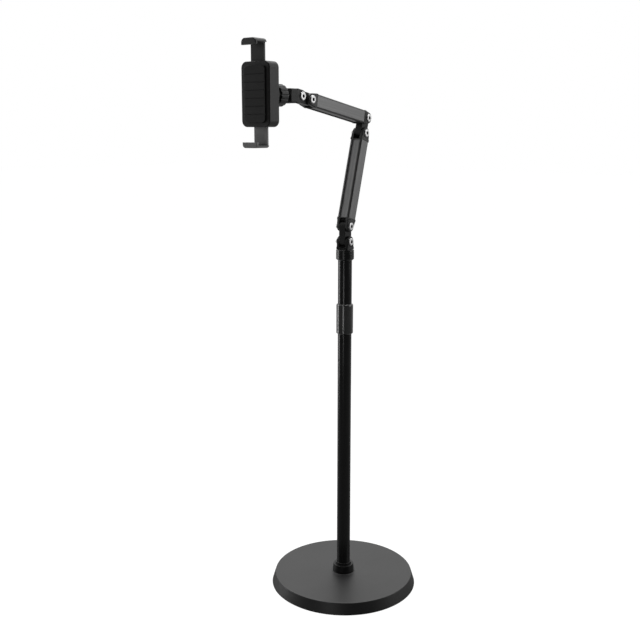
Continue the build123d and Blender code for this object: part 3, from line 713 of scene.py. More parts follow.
def make_base_pad():
    radius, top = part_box("base_pad")[1].xz
    ring_in, groove_in = radius - foot_ring, radius - 2 * foot_ring
    section = [
        (groove_in, 0), (groove_in + foot_groove, foot_groove),
        (ring_in - foot_groove, foot_groove), (ring_in, 0), (radius - pad_edge, 0),
        (radius, pad_edge), (radius, top),
    ]
    return prepare(turned("rubber_sheet", section, base_steps, solid=True))


dress([(make_base_pad(), "base_rubber", "base", "base_pad")])

# %% [markdown]
# The pole is a fixed lower tube, a twist lock, and an upper tube on a sliding mast. The heights
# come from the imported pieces. Small chamfers at each tube's ends are what the eye reads as
# separate parts.

# %% Tubes and mast
tube_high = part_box("lower_tube")[1]
mast_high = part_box("inner_mast")[1]
tube_radius, mast_radius = tube_high.x, mast_high.x
tube_bore = tube_radius - 1.5 * mm
mast_bore = mast_radius - 1.2 * mm
tube_chamfer = 0.5 * mm
fit = 0.1 * mm


def ring_section(outer, inner, low, high, chamfer):
    """The closed section of a tube with chamfered ends."""
    return [
        (inner, low), (outer - chamfer, low), (outer, low + chamfer),
        (outer, high - chamfer), (outer - chamfer, high), (inner, high),
    ]


def make_tube(name, node_name, outer, inner):
    low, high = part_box(node_name)
    return prepare(turned(name, ring_section(outer, inner, low.z, high.z, tube_chamfer)))


def tube_row(name, finish, body, node_name, outer=tube_radius, inner=tube_bore):
    return (make_tube(name, node_name, outer, inner), finish, body, node_name)


dress((
    tube_row("pole_lower", "tube_paint", "base", "lower_tube"),
    tube_row("pole_upper", "tube_paint", "mast", "upper_tube"),
    tube_row("sliding_mast", "mast_steel", "mast", "inner_mast", mast_radius, mast_bore),
))

# %% [markdown]
# A knife-sharp edge never catches the light the way a moulded or a machined one does, so edges get
# bevels with real widths. They are chosen by where they lie and which way they run, because their
# numbers change with every operator.

# %% Rounding the wanted edges
hair = 0.01 * mm
level_run = 0.1


def middle(edge):
    return (edge.verts[0].co + edge.verts[1].co) / 2


def climb_of(edge):
    """How much an edge climbs: zero when it lies level and one when it stands upright."""
    return abs((edge.verts[1].co - edge.verts[0].co).normalized().z)


def is_rim(edge, height):
    """True for a level edge at a height."""
    return abs(middle(edge).z - height) < hair and climb_of(edge) < level_run


def bevel(piece, width, steps, wanted):
    """Rounds the wanted edges."""
    pick(piece, "EDGE", wanted)
    bpy.ops.mesh.bevel(offset=width, segments=steps, affect="EDGES")
    leave_edit()


print("a place counts as met within", hair / mm, "mm")

# %% [markdown]
# The hub hides the joint of the pole and the base. It is a short cone with an upright lip at its
# foot, and a low neck rises from its flat top round the tube.

# %% Hub
hub_top = tube_radius + 6.0 * mm
hub_neck, hub_neck_height = tube_radius + 2.1 * mm, 3.8 * mm
hub_lip, hub_edge, hub_lip_round = 2.0 * mm, 0.8 * mm, 0.5 * mm


def make_hub():
    low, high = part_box("pole_hub")
    shoulder = high.z - hub_neck_height
    lip_top = low.z + hub_lip
    inner, bottom = tube_radius + 0.5 * fit, high.x
    section = [
        (inner, low.z), (bottom, low.z), (bottom, lip_top), (hub_top, shoulder - hub_edge),
        (hub_top - 0.3 * hub_edge, shoulder - 0.3 * hub_edge), (hub_top - hub_edge, shoulder),
        (hub_neck, shoulder), (hub_neck, high.z - 0.5 * hub_edge),
        (hub_neck - 0.5 * hub_edge, high.z), (inner, high.z),
    ]
    hub = turned("foot_hub", section, 128)
    bevel(hub, hub_lip_round, 3, lambda e: is_rim(e, lip_top))
    return prepare(hub)


dress([(make_hub(), "hub_plastic", "base", "pole_hub")])

# %% [markdown]
# The twist lock is a smooth moulded sleeve: its lower end has a chamfer and a fine groove, and its
# top is well rounded. Inside, it is stepped for the collet, so its section is drawn like the real
# one, and the piece stays hollow when the mast slides through it.

# %% Twist lock
collar_steps = 128
lock_chamfer, lock_round = 1.4 * mm, 3.0 * mm
lock_groove_height = 8.0 * mm
lock_groove = dict(depth=0.45 * mm, width=0.9 * mm, slant=0.2 * mm)
lock_roof = 4.0 * mm
collet_slope = 0.75 * mm
mast_gap = 0.3 * mm


def groove_section(outer, low, depth, width, slant):
    """The four corners of a fine groove with slanted sides, from its lower edge up."""
    high = low + width
    floor = outer - depth
    return [(outer, low), (floor, low + slant), (floor, high - slant), (outer, high)]


def make_lock_collar():
    low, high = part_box("lock_collar")
    outer = high.x
    ceiling = high.z - lock_roof
    around_tube, around_mast = tube_radius + fit, mast_radius + mast_gap
    section = [(around_tube, low.z), (outer - lock_chamfer, low.z), (outer, low.z + lock_chamfer)]
    section += groove_section(outer, low.z + lock_groove_height, **lock_groove)
    section += arc((outer - lock_round, high.z - lock_round), lock_round, 0, 90, 8)
    section += [(around_mast, high.z), (around_mast, ceiling)]
    section += [(around_tube - collet_slope, ceiling), (around_tube, tube_high.z)]
    return prepare(turned("twist_lock_sleeve", section, collar_steps))


dress([(make_lock_collar(), "collar_plastic", "twist_lock", "lock_collar")])

# %% [markdown]
# The collar at the top of the pole carries the head's swivel. It is wider than the tube, has a
# chamfer beneath and a fine groove below its rim. A thin washer lies between it and the head.

# %% Top collar and washer
collar_chamfer, collar_rim = 1.6 * mm, 0.7 * mm
collar_groove_drop = 2.6 * mm
collar_groove = dict(depth=0.5 * mm, width=0.8 * mm, slant=0.15 * mm)
bush_wall = 1.3 * mm
spindle_radius = 6.0 * mm
washer_chamfer = 0.2 * mm


def make_top_collar():
    low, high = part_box("top_collar")
    outer = high.x
    tube_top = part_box("upper_tube")[1].z
    bush = tube_bore - bush_wall
    groove = high.z - collar_groove_drop - collar_groove["width"]
    section = [
        (tube_radius, low.z), (outer - collar_chamfer, low.z), (outer, low.z + collar_chamfer),
    ]
    section += groove_section(outer, groove, **collar_groove)
    section += arc((outer - collar_rim, high.z - collar_rim), collar_rim, 0, 90, 4)
    section += [(bush, high.z), (bush, tube_top), (tube_radius, tube_top)]
    return prepare(turned("swivel_collar", section, collar_steps))


def make_pan_washer():
    low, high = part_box("pan_washer")
    section = ring_section(high.x, spindle_radius, low.z, high.z, washer_chamfer)
    return prepare(turned("swivel_washer", section))


dress((
    (make_top_collar(), "top_collar_plastic", "mast", "top_collar"),
    (make_pan_washer(), "ring_plastic", "head", "pan_washer"),
))

# %% [markdown]
# The head, the arms and the holder are machined and moulded from plain forms, which start as a cube
# or a cylinder. Each is given by its spans, so the same line makes the left and the right of a pair
# when a side of 1 or -1 is in it.

# %% Blocks and drums


def ends_of(span):
    """A span's ends in rising order; a single number reaches as far on both sides of zero."""
    return sorted(span) if isinstance(span, tuple) else (-span, span)


def block(name, x, y, z):
    """A box from its span along each axis."""
    clear_selection()
    low, high = map(Vector, zip(ends_of(x), ends_of(y), ends_of(z)))
    bpy.ops.mesh.primitive_cube_add(size=1, location=(low + high) / 2, scale=high - low)
    piece = take_new(name)
    apply_place(piece)
    return piece


def drum(name, radius, span, steps=48, spot=(0, 0), across=False, spin=0.0):
    """A cylinder over a span of Z, or of X when it lies across."""
    clear_selection()
    low, high = ends_of(span)
    centre = (low + high) / 2
    place = (centre, spot[0], spot[1]) if across else (spot[0], spot[1], centre)
    turn = (0, pi / 2, 0) if across else (0, 0, spin)
    bpy.ops.mesh.primitive_cylinder_add(
        vertices=steps, radius=radius, depth=high - low, location=place, rotation=turn
    )
    piece = take_new(name)
    apply_place(piece)
    return piece


print("blocks and drums ready")

# %% [markdown]
# Booleans cut the channels, gaps and bores, as a mill and a drill would. Each tool is a plain solid
# that reaches past the piece by an overrun, so that no face of one lies in a face of the other.

# %% Cuts
overrun = 2.0 * mm


def combine(piece, tools, operation):
    for tool in tools:
        change = piece.modifiers.new("combine", "BOOLEAN")
        change.operation = operation
        change.solver = "EXACT"
        change.object = tool
        activate(piece)
        bpy.ops.object.modifier_apply(modifier=change.name)
        bpy.data.objects.remove(tool)


def cut(piece, *tools):
    combine(piece, tools, "DIFFERENCE")


def add(piece, *tools):
    combine(piece, tools, "UNION")


def trim_above(piece, height):
    """Cuts a piece level at a height, and closes and keeps what is below."""
    pick(piece, "FACE", every)
    bpy.ops.mesh.bisect(
        plane_co=(0, 0, height), plane_no=(0, 0, 1), use_fill=True, clear_outer=True
    )
    leave_edit()


def pick_top(piece):
    pick(piece, "FACE", lambda f: f.normal.z > 0.99)


print("tools overrun by", overrun / mm, "mm")

# %% [markdown]
# Every fork on this stand has the same family shape: two rounded ears round a pivot that widen
# into a square block. It starts as a cylinder that is cut flat where the slanted sides leave it.
# The cut face is extruded and widened up to the block, and extruded again to its end. Then the
# ears' rims are rounded, and the gap for the link and the bore for the screw are cut.

# %% Fork
ear_radius, ear_thickness, ear_round = 9.0 * mm, 5.0 * mm, 1.6 * mm
ear_gap = 12.5 * mm
ear_face = ear_gap / 2 + ear_thickness
ear_steps = 72
screw_radius = 3.0 * mm
sharp_angle = radians(60)


def is_sharp(edge):
    return edge.calc_face_angle(0) > sharp_angle


def make_fork(name, reach, half_height, floor):
    """A fork with its pivot at the origin and its block towards +Z, up to its reach."""
    shoulder = reach - ear_thickness
    leaving = atan2(shoulder, half_height) - acos(ear_radius / hypot(half_height, shoulder))
    level, half_width = ear_radius * sin(leaving), ear_radius * cos(leaving)
    fork = drum(name, ear_radius, ear_face, ear_steps, across=True)
    trim_above(fork, level)
    pick_top(fork)
    rise(shoulder - level)
    widening = half_height / half_width
    bpy.ops.transform.resize(value=(1, widening, 1), center_override=(0, 0, shoulder))
    rise(reach - shoulder)
    leave_edit()
    rim, neck = ear_face - hair, shoulder + mm
    bevel(
        fork, ear_round, 5,
        lambda e: abs(middle(e).x) > rim and is_sharp(e) and middle(e).z < neck,
    )
    cut(fork, block("gap", ear_gap / 2, half_height + overrun, (-ear_radius - overrun, floor)))
    cut(fork, drum("bore", screw_radius, ear_face + overrun, across=True))
    return fork


print("fork", round(2 * ear_face / mm, 1), "mm wide")

# %% [markdown]
# The link between two forks is a flat bar with round ends. A cylinder is cut in half, the cut face
# is extruded to the middle of the link, and the other half is its mirror image. The rims get a
# small round, and each end a bore and a shallow pocket for its washers.

# %% Link
link_length, link_half, link_round = 25.0 * mm, 6.15 * mm, 0.6 * mm
pocket_radius, washer_seat = 7.6 * mm, 5.4 * mm


def make_link():
    half, clear = link_length / 2, 2 * link_half
    link = drum("link", ear_radius, link_half, ear_steps, (0, -half), across=True)
    trim_above(link, -half)
    pick_top(link)
    rise(half)
    bpy.ops.mesh.delete(type="FACE")
    bpy.ops.mesh.select_all(action="SELECT")
    bpy.ops.mesh.symmetrize(direction="NEGATIVE_Z")
    bpy.ops.mesh.select_all(action="SELECT")
    bpy.ops.mesh.dissolve_limited(angle_limit=radians(0.5))
    leave_edit()
    link.location.z = half
    apply_place(link)
    rim = link_half - hair
    bevel(link, link_round, 3, lambda e: abs(middle(e).x) > rim and is_sharp(e))
    for spot in ((0, 0), (0, link_length)):
        cut(link, drum("bore", screw_radius, clear, 48, spot, across=True))
        for side in (1, -1):
            pocket = (side * washer_seat, side * clear)
            cut(link, drum("pocket", pocket_radius, pocket, 64, spot, across=True))
    return prepare(link)


link = make_link()
print("link", open_edges(link), "open edges")

# %% [markdown]
# The pivots are button head screws. The head is turned from its rim to a dome, and a six-sided
# socket is cut in it. The bright head and its dark socket are the most eye-catching spots on the
# arms, so the socket is a real hole with a chamfered mouth.

# %% Pivot screw
head_radius, head_rim, head_height = 6.2 * mm, 0.8 * mm, 1.9 * mm
head_flat, dome_width, dome_steps = 4.701 * mm, 1.5 * mm, 8
head_chamfer, tip_chamfer = 0.15 * mm, 0.5 * mm
socket_radius, socket_depth = 2.54 * mm, 1.7 * mm
mouth_bottom, mouth_top, mouth_depth = 1.9 * mm, 3.1 * mm, 1.2 * mm
nut_thickness = 5.0 * mm
screw_end = 2 * ear_face + nut_thickness + 1.0 * mm
hex_spin = pi / 6


def make_screw():
    section = [(screw_radius - tip_chamfer, -screw_end), (screw_radius, tip_chamfer - screw_end)]
    section += [(screw_radius, 0), (head_radius - head_chamfer, 0)]
    section += [(head_radius, head_chamfer), (head_radius, head_rim)]
    for step in range(1, dome_steps + 1):
        turn = pi / 2 * step / dome_steps
        height = head_rim + (head_height - head_rim) * sin(turn)
        section.append((head_flat + dome_width * cos(turn), height))
    screw = turned("screw", section, 64, solid=True)
    depth = (head_height - socket_depth, head_height + overrun)
    socket = drum("socket", socket_radius, depth, 6, spin=hex_spin)
    clear_selection()
    bpy.ops.mesh.primitive_cone_add(
        vertices=48, radius1=mouth_bottom, radius2=mouth_top, depth=mouth_depth,
        location=(0, 0, head_height),
    )
    mouth = take_new("mouth")
    apply_place(mouth)
    cut(screw, socket, mouth)
    return prepare(screw)


screw = make_screw()
print("screw", open_edges(screw), "open edges")

# %% [markdown]
# The nuts on the far side are lock nuts: a hexagon with a round collar that holds a nylon ring.
# Both are softly rounded, and the bore runs through them.

# %% Lock nut
nut_half_width, nut_hex_height, nut_root = 5.0 * mm, 3.25 * mm, 0.2 * mm
nut_edge, nut_dome = 0.35 * mm, 0.8 * mm
nut_collar_radius = nut_half_width - 0.6 * mm


def make_nut():
    corner = nut_half_width / cos(hex_spin)
    nut = drum("nut", corner, (0, nut_hex_height), 6, spin=hex_spin)
    bevel(nut, nut_edge, 3, every)
    collar = drum("top", nut_collar_radius, (nut_hex_height - nut_root, nut_thickness))
    bevel(collar, nut_dome, 4, lambda e: is_rim(e, nut_thickness))
    add(nut, collar)
    cut(nut, drum("bore", screw_radius, nut_thickness + overrun))
    return prepare(nut)


def copy_of(piece, name):
    twin = piece.copy()
    twin.data = piece.data.copy()
    twin.name = name
    bpy.context.scene.collection.objects.link(twin)
    return twin


def laid_across(template, name, side, spot=0.0):
    """A copy that lies along X with its seat on an ear's outer face."""
    piece = copy_of(template, name)
    turn = Matrix.Rotation(side * pi / 2, 4, "Y")
    piece.matrix_world = Matrix.Translation((side * ear_face, 0, spot)) @ turn
    apply_place(piece)
    return piece


nut = make_nut()
print("nut", open_edges(nut), "open edges")

# %% [markdown]
# An arm is a hollow aluminium beam with a channel in each of its four faces. Brushed strips lie
# in the channels: the side ones are flush, and the front and back ones are sunk, which leaves a
# dark rail at each corner.

# %% Arm beam
arm_length = (pivot_of("elbow_pivot") - pivot_of("lower_arm_pivot")).length
arm_half_height = 10.5 * mm
cap_reach = 13.0 * mm
beam_span = (cap_reach, arm_length - cap_reach)
beam_clear = (cap_reach - overrun, arm_length - cap_reach + overrun)
beam_corner, beam_edge = 2.4 * mm, 0.15 * mm
plate_half_height, plate_thickness = 8.25 * mm, 1.0 * mm
inlay_half_width, inlay_recess = 7.0 * mm, 2.0 * mm
hollow_half_height = 6.25 * mm
upright_run = 0.9


def is_upright(edge):
    return climb_of(edge) > upright_run


def soften(piece, width, sharpest=60):
    """Rounds every edge that is sharper than an angle."""
    change = piece.modifiers.new("soft edges", "BEVEL")
    change.width = width
    change.segments = 2
    change.limit_method = "ANGLE"
    change.angle_limit = radians(sharpest)
    activate(piece)
    bpy.ops.object.modifier_apply(modifier=change.name)
    return piece


def make_beam():
    beam = block("beam", ear_face, arm_half_height, beam_span)
    bevel(beam, beam_corner, 6, is_upright)
    cut(beam, block("hollow", inlay_half_width, hollow_half_height, beam_clear))
    for side in (1, -1):
        channel = (side * (ear_face - plate_thickness), side * (ear_face + overrun))
        cut(beam, block("channel", channel, plate_half_height, beam_clear))
        channel = (side * (arm_half_height - inlay_recess), side * (arm_half_height + overrun))
        cut(beam, block("channel", inlay_half_width, channel, beam_clear))
    return prepare(soften(beam, beam_edge))


beam = make_beam()
print("beam", open_edges(beam), "open edges")

# %% [markdown]
# The front and back strips are pressed slightly hollow, so the light runs off towards their edges.
# For that a strip is sliced along its length, and each line of its outer face is pushed in by its
# share.

# %% A pressed hollow
dish_bands = 8


def dish(strip, outer, half_width, depth):
    """Presses a shallow hollow along a strip's outer face."""
    for band in range(1, dish_bands):
        x = half_width * (2 * band / dish_bands - 1)
        pick(strip, "FACE", every)
        bpy.ops.mesh.bisect(plane_co=(x, 0, 0), plane_no=(1, 0, 0))
        leave_edit()
        pick(strip, "VERT", lambda v: abs(v.co.x - x) < hair and abs(v.co.y - outer) < hair)
        sink = depth * (1 - (x / half_width) ** 2)
        bpy.ops.transform.translate(value=(0, -sink if outer > 0 else sink, 0))
        leave_edit()


print("a hollow has", dish_bands, "bands")

# %% [markdown]
# The strips are cut from plate and come in pairs, one for each side of the arm, with their edges
# just broken. A small gap parts them from the walls of their channel.

# %% Arm strips
inlay_thickness, inlay_hollow = 0.8 * mm, 0.36 * mm
panel_gap = 0.1 * mm
strip_edge = 0.2 * mm


def joined(name, pieces):
    """Several loose solids as one object."""
    clear_selection()
    for piece in pieces:
        piece.select_set(True)
    bpy.context.view_layer.objects.active = pieces[0]
    bpy.ops.object.join()
    return take_new(name)


def make_strips(name, half_width, half_height, offset, hollow=0.0):
    """Two strips, one on each side of the arm."""
    strips = []
    for side in (1, -1):
        x, y = side * offset[0], side * offset[1]
        width, height = (x - half_width, x + half_width), (y - half_height, y + half_height)
        strip = block(name, width, height, beam_span)
        if hollow:
            dish(strip, y + side * half_height, half_width, hollow)
        strips.append(strip)
    return prepare(soften(joined(name, strips), strip_edge, 40))


half_plate, half_inlay = plate_thickness / 2, inlay_thickness / 2
side_strips = make_strips(
    "side_strips", half_plate, plate_half_height - panel_gap, (ear_face - half_plate, 0)
)
front_strips = make_strips(
    "front_strips", inlay_half_width - panel_gap, half_inlay,
    (0, arm_half_height - inlay_recess + half_inlay), inlay_hollow,
)
for strips in (side_strips, front_strips):
    print(strips.name, open_edges(strips), "open edges")

# %% [markdown]
# The arm's end forks plug into the beam with a tenon. The fork is modelled once, and the one at
# the far end is the same piece turned round.

# %% Arm ends
arm_gap_floor = 11.5 * mm
tenon_span = (cap_reach - 1.0 * mm, cap_reach + 14.0 * mm)


def make_arm_fork():
    fork = make_fork("arm_fork", cap_reach, arm_half_height, arm_gap_floor)
    width, height = inlay_half_width - panel_gap, hollow_half_height - panel_gap
    add(fork, block("tenon", width, height, tenon_span))
    return prepare(fork)


def turned_round(template, name):
    piece = copy_of(template, name)
    turn = Matrix.Rotation(pi, 4, "X")
    piece.matrix_world = Matrix.Translation((0, 0, arm_length)) @ turn
    apply_place(piece)
    return piece


arm_fork = make_arm_fork()
print("arm fork", open_edges(arm_fork), "open edges")

# %% [markdown]
# Both arms are copies of the same pieces. An arm is put together upright, from its lower pivot to
# its upper one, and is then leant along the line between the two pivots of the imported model.

# %% Assemble both arms
arm_rows = (
    ("lower_arm", "bottom", "top", "lower_arm_pivot", "elbow_pivot"),
    ("upper_arm", "rear", "front", "upper_arm_pivot", "front_pivot"),
)


def lean_between(first, second):
    """The lean about X, in degrees, of the line between two pivots."""
    step = pivot_of(second) - pivot_of(first)
    return degrees(up.angle(step)) * (-1 if step.y > 0 else 1)


def fasteners(template, name, side):
    """A copy at each end of an arm, joined as one piece."""
    return joined(name, [laid_across(template, "copy", side, spot) for spot in (0, arm_length)])


for arm, near, far, pivot, far_pivot in arm_rows:
    lean = lean_between(pivot, far_pivot)
    screws = fasteners(screw, f"{arm}_pivot_screws", 1)
    nuts = fasteners(nut, f"{arm}_lock_nuts", -1)
    rows = (
        (copy_of(beam, f"{arm}_extrusion"), "dark_anodised", "beam"),
        (copy_of(side_strips, f"{arm}_side_strips"), "brushed_aluminium", "side_plates"),
        (copy_of(front_strips, f"{arm}_front_strips"), "inlay_aluminium", "inlays"),
        (copy_of(arm_fork, f"{arm}_{near}_fork"), "clevis_plastic", f"{near}_clevis"),
        (turned_round(arm_fork, f"{arm}_{far}_fork"), "clevis_plastic", f"{far}_clevis"),
        (screws, "bright_steel", "screws"),
        (nuts, "bright_steel", "nuts"),
    )
    rows = [(piece, finish, arm, f"{arm}_{ending}") for piece, finish, ending in rows]
    dress(rows, pivot_of(pivot), lean)
    print(arm, "leans", round(lean, 1), "degrees")

# %% [markdown]
# Three links join the head to the lower arm, the lower arm to the upper one, and the upper arm to
# the holder. They are copies of one link, each leant along the line between its two pivots.

# %% Links
link_rows = (
    ("base_knuckle", "base_link", "base_pivot", "lower_arm_pivot"),
    ("elbow_knuckle", "elbow_link", "elbow_pivot", "upper_arm_pivot"),
    ("front_knuckle", "front_link", "front_pivot", "holder_tilt"),
)
for body, node_name, first, second in link_rows:
    bar = copy_of(link, f"{node_name}_bar")
    row = (bar, "link_metal", body, node_name)
    dress([row], pivot_of(first), lean_between(first, second))

# %% [markdown]
# The head is a fork with its ears up, on the swivel at the top of the pole. It is a little lower
# than the arm forks, and its block is as deep as its ears.

# %% Head fork
head_pivot = pivot_of("base_pivot")
head_reach = head_pivot.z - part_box("head_clevis")[0].z
head_gap_floor = 9.6 * mm
spindle_seat = 2.4 * mm


def make_head_fork():
    fork = make_fork("head_fork", head_reach, ear_radius, head_gap_floor)
    cut(fork, drum("seat", spindle_radius, (head_reach - spindle_seat, head_reach + overrun), 64))
    return prepare(fork)


dress([(make_head_fork(), "knuckle_plastic", "head", "head_clevis")], head_pivot, 180)
dress((
    (laid_across(screw, "head_pivot_screw", 1), "bright_steel", "head", "head_screw"),
    (laid_across(nut, "head_lock_nut", -1), "bright_steel", "head", "head_nut"),
), head_pivot)

# %% [markdown]
# The holder hangs on the last pivot. Its pieces are modelled with Z ahead and Y up, as they would
# lie on a bench, and are then leant to face the user. First comes the fork with its square block,
# and the ball stud that is screwed into it.

# %% Holder mount
mount_pivot = pivot_of("holder_tilt")
holder_lean = 90.0
mount_root, mount_end, mount_edge = cap_reach - 0.5 * mm, 27.0 * mm, 0.8 * mm
stud_tip = mount_end - 12.0 * mm
stud_radius, stud_chamfer = 4.0 * mm, 0.4 * mm
ball_centre, ball_radius, ball_fit = 47.0 * mm, 9.0 * mm, 0.1 * mm
flange_half_width, flange_thickness = 7.0 * mm, 4.0 * mm


def make_mount():
    fork = make_fork("mount_fork", cap_reach, arm_half_height, arm_gap_floor)
    body = block("body", ear_face, arm_half_height, (mount_root, mount_end))
    bevel(body, beam_corner, 6, is_upright)
    bevel(body, mount_edge, 3, lambda e: middle(e).z > mount_end - hair)
    add(fork, body)
    cut(fork, drum("thread", stud_radius, (stud_tip, mount_end + overrun)))
    return prepare(fork)


def make_stud():
    joint = ball_centre - sqrt(ball_radius ** 2 - stud_radius ** 2)
    start = degrees(stud_radius / ball_radius) - 87
    section = [(stud_radius - stud_chamfer, stud_tip), (stud_radius, stud_tip + stud_chamfer)]
    section += [(stud_radius, joint)] + arc((0, ball_centre), ball_radius, start, 86, 22)
    stud = turned("ball_pin", section, 72, solid=True)
    corner, ends = flange_half_width / cos(hex_spin), (mount_end, mount_end + flange_thickness)
    flange = drum("flange", corner, ends, 6, spin=hex_spin)
    bevel(flange, stud_chamfer, 2, every)
    add(stud, flange)
    return prepare(stud)


dress((
    (make_mount(), "knuckle_plastic", "holder_mount", "mount_knuckle"),
    (make_stud(), "bright_steel", "holder_mount", "ball_stud"),
    (laid_across(screw, "mount_pivot_screw", 1), "bright_steel", "holder_mount", "mount_screw"),
    (laid_across(nut, "mount_lock_nut", -1), "bright_steel", "holder_mount", "mount_nut"),
), mount_pivot, holder_lean)

# %% [markdown]
# A ring with finger grips squeezes the ball. Inside, it has the seat that holds the ball and the
# thread for the cup. The grips are scallops, cut round the ring with sixteen copies of one
# cylinder, joined so that one cut makes them all.

# %% Ring nut
socket_wall = ball_radius + ball_fit
cup_radius = 13.0 * mm
ring_front, ring_back = 38.0 * mm, 54.0 * mm
ring_radius, ring_round, ring_mouth = 16.0 * mm, 1.2 * mm, 10.5 * mm
throat, throat_drop, seat_drop = 7.9 * mm, 5.0 * mm, 2.0 * mm
grip_count, grip_radius, grip_depth = 16, 1.8 * mm, 0.9 * mm


def make_ring_nut():
    throat_high = ball_centre - sqrt(socket_wall ** 2 - throat ** 2)
    seat_high, seat_radius = ball_centre - seat_drop, sqrt(socket_wall ** 2 - seat_drop ** 2)
    thread = cup_radius + ball_fit
    inset = ring_radius - ring_round
    section = [(ring_mouth, ring_front)]
    section += arc((inset, ring_front + ring_round), ring_round, -90, 0, 4)
    section += arc((inset, ring_back - ring_round), ring_round, 0, 90, 4)
    section += [(thread, ring_back), (thread, seat_high), (seat_radius, seat_high)]
    section += [(throat, throat_high), (throat, ball_centre - throat_drop)]
    ring = turned("ring_nut", section, 128)
    away = ring_radius + grip_radius - grip_depth
    turns = [2 * pi * number / grip_count for number in range(grip_count)]
    spots = [(away * cos(turn), away * sin(turn)) for turn in turns]
    ends = (ring_front - overrun, ring_back + overrun)
    cut(ring, joined("grips", [drum("grip", grip_radius, ends, 24, spot) for spot in spots]))
    return prepare(ring)


dress([(make_ring_nut(), "ring_plastic", "ring_nut", "lock_ring")], mount_pivot, holder_lean)

# %% [markdown]
# The ball turns in a cup whose flange carries the housing. Between the two lies a plain washer, on
# which the holder rolls from upright to level.

# %% Cup and swivel washer
cup_front, cup_back, cup_edge = 46.0 * mm, 68.0 * mm, 0.4 * mm
cup_fillet = 1.0 * mm
flange_radius, flange_back = 18.0 * mm, 72.0 * mm
flange_front_edge, flange_back_edge = 0.6 * mm, 0.8 * mm
roll_radius, roll_bore, roll_thickness = 16.0 * mm, 4.0 * mm, 0.95 * mm


def make_cup():
    rim = sqrt(socket_wall ** 2 - (ball_centre - cup_front) ** 2)
    section = arc((0, ball_centre), socket_wall, 86, -6.3, 20)[:-1] + [(rim, cup_front)]
    section += [(cup_radius - cup_edge, cup_front), (cup_radius, cup_front + cup_edge)]
    section += [(cup_radius, cup_back - cup_fillet), (cup_radius + cup_fillet, cup_back)]
    section += [(flange_radius - flange_front_edge, cup_back)]
    section += [(flange_radius, cup_back + flange_front_edge)]
    section += [(flange_radius, flange_back - flange_back_edge)]
    section += [(flange_radius - flange_back_edge, flange_back)]
    return prepare(turned("ball_cup", section, solid=True))


def make_roll_washer():
    end = flange_back + roll_thickness
    section = ring_section(roll_radius, roll_bore, flange_back, end, washer_chamfer)
    return prepare(turned("swivel_disc", section))


dress((
    (make_cup(), "socket_plastic", "ball_socket", "socket_cup"),
    (make_roll_washer(), "ring_plastic", "ball_socket", "roll_washer"),
), mount_pivot, holder_lean)

# %% [markdown]
# The holder's housing is two moulded trays, screwed together from behind. A tray is a block with
# rounded corners whose open face is inset by the wall and pushed in.

# %% The form of a tray
house_back, house_split, house_front = 73.0 * mm, 85.0 * mm, 94.5 * mm
house_x, house_y = 26.0 * mm, 45.0 * mm
house_wall, back_wall = 2.0 * mm, 2.4 * mm
house_corner, house_round = 9.0 * mm, 1.6 * mm


def make_tray(name, outer, inner, wall):
    """A rounded tray with its floor at one station and its open side at the other."""
    tray = block(name, house_x, house_y, (outer, inner))
    bevel(tray, house_corner, 10, is_upright)
    bevel(tray, house_round, 5, lambda e: is_rim(e, outer))
    pick(tray, "FACE", lambda f: abs(f.calc_center_median().z - inner) < hair)
    bpy.ops.mesh.inset(thickness=house_wall)
    rise(outer - inner + (wall if inner > outer else -wall))
    bpy.ops.mesh.select_all(action="SELECT")
    bpy.ops.mesh.normals_make_consistent(inside=False)
    leave_edit()
    return tray


print("housing", round((house_front - house_back) / mm, 1), "mm deep")

# %% [markdown]
# Each tray has two rails for its jaw's slide, four screw bosses and a post for a spring. They are
# added as plain solids that start inside the wall, so that they grow together with it. The slide
# leaves the tray through a slot.

# %% Rails, bosses and slots
root = 0.2 * mm
screw_x, screw_y = 20.4 * mm, 36.0 * mm
screw_spots = [(side * screw_x, end * screw_y) for side in (1, -1) for end in (1, -1)]
boss_radius, boss_gap = 3.0 * mm, 0.02 * mm
rail_x, rail_half, rail_end, rail_gap = 9.5 * mm, 1.5 * mm, 42.0 * mm, 0.05 * mm
slide_half, slide_thickness, slide_gap = 12.0 * mm, 3.0 * mm, 0.2 * mm
upper_slide, lower_slide = 86.0 * mm, 81.0 * mm
post_x, post_y, post_radius = 14.6 * mm, 40.0 * mm, 1.6 * mm


def add_inside(tray, rail, boss, post, post_spot):
    """Adds two rails, four bosses and a post, each over its span of Z."""
    for side in (1, -1):
        width = (side * rail_x - rail_half, side * rail_x + rail_half)
        add(tray, block("rail", width, rail_end, rail))
    for spot in screw_spots:
        add(tray, drum("boss", boss_radius, boss, 32, spot))
    add(tray, drum("post", post_radius, post, 24, post_spot))


def slot_for(slide, end):
    """The tool that cuts a slide's slot through the top or bottom wall."""
    through = (end * (house_y - 2 * house_wall), end * (house_y + overrun))
    height = (slide - slide_gap, slide + slide_thickness + slide_gap)
    return block("slot", slide_half + slide_gap, through, height)


print("slides", slide_thickness / mm, "mm thick")

# %% [markdown]
# The rear tray has the holes and seats of the screws and the hole of the swivel's shoulder, and the
# front one has the holes that the screws bite into.

# %% Housing trays
small_seat = house_back + 1.9 * mm
seat_radius, rear_hole, front_hole = 2.8 * mm, 1.6 * mm, 1.5 * mm
front_hole_end = house_back + 17.9 * mm
shoulder_radius = 4.05 * mm


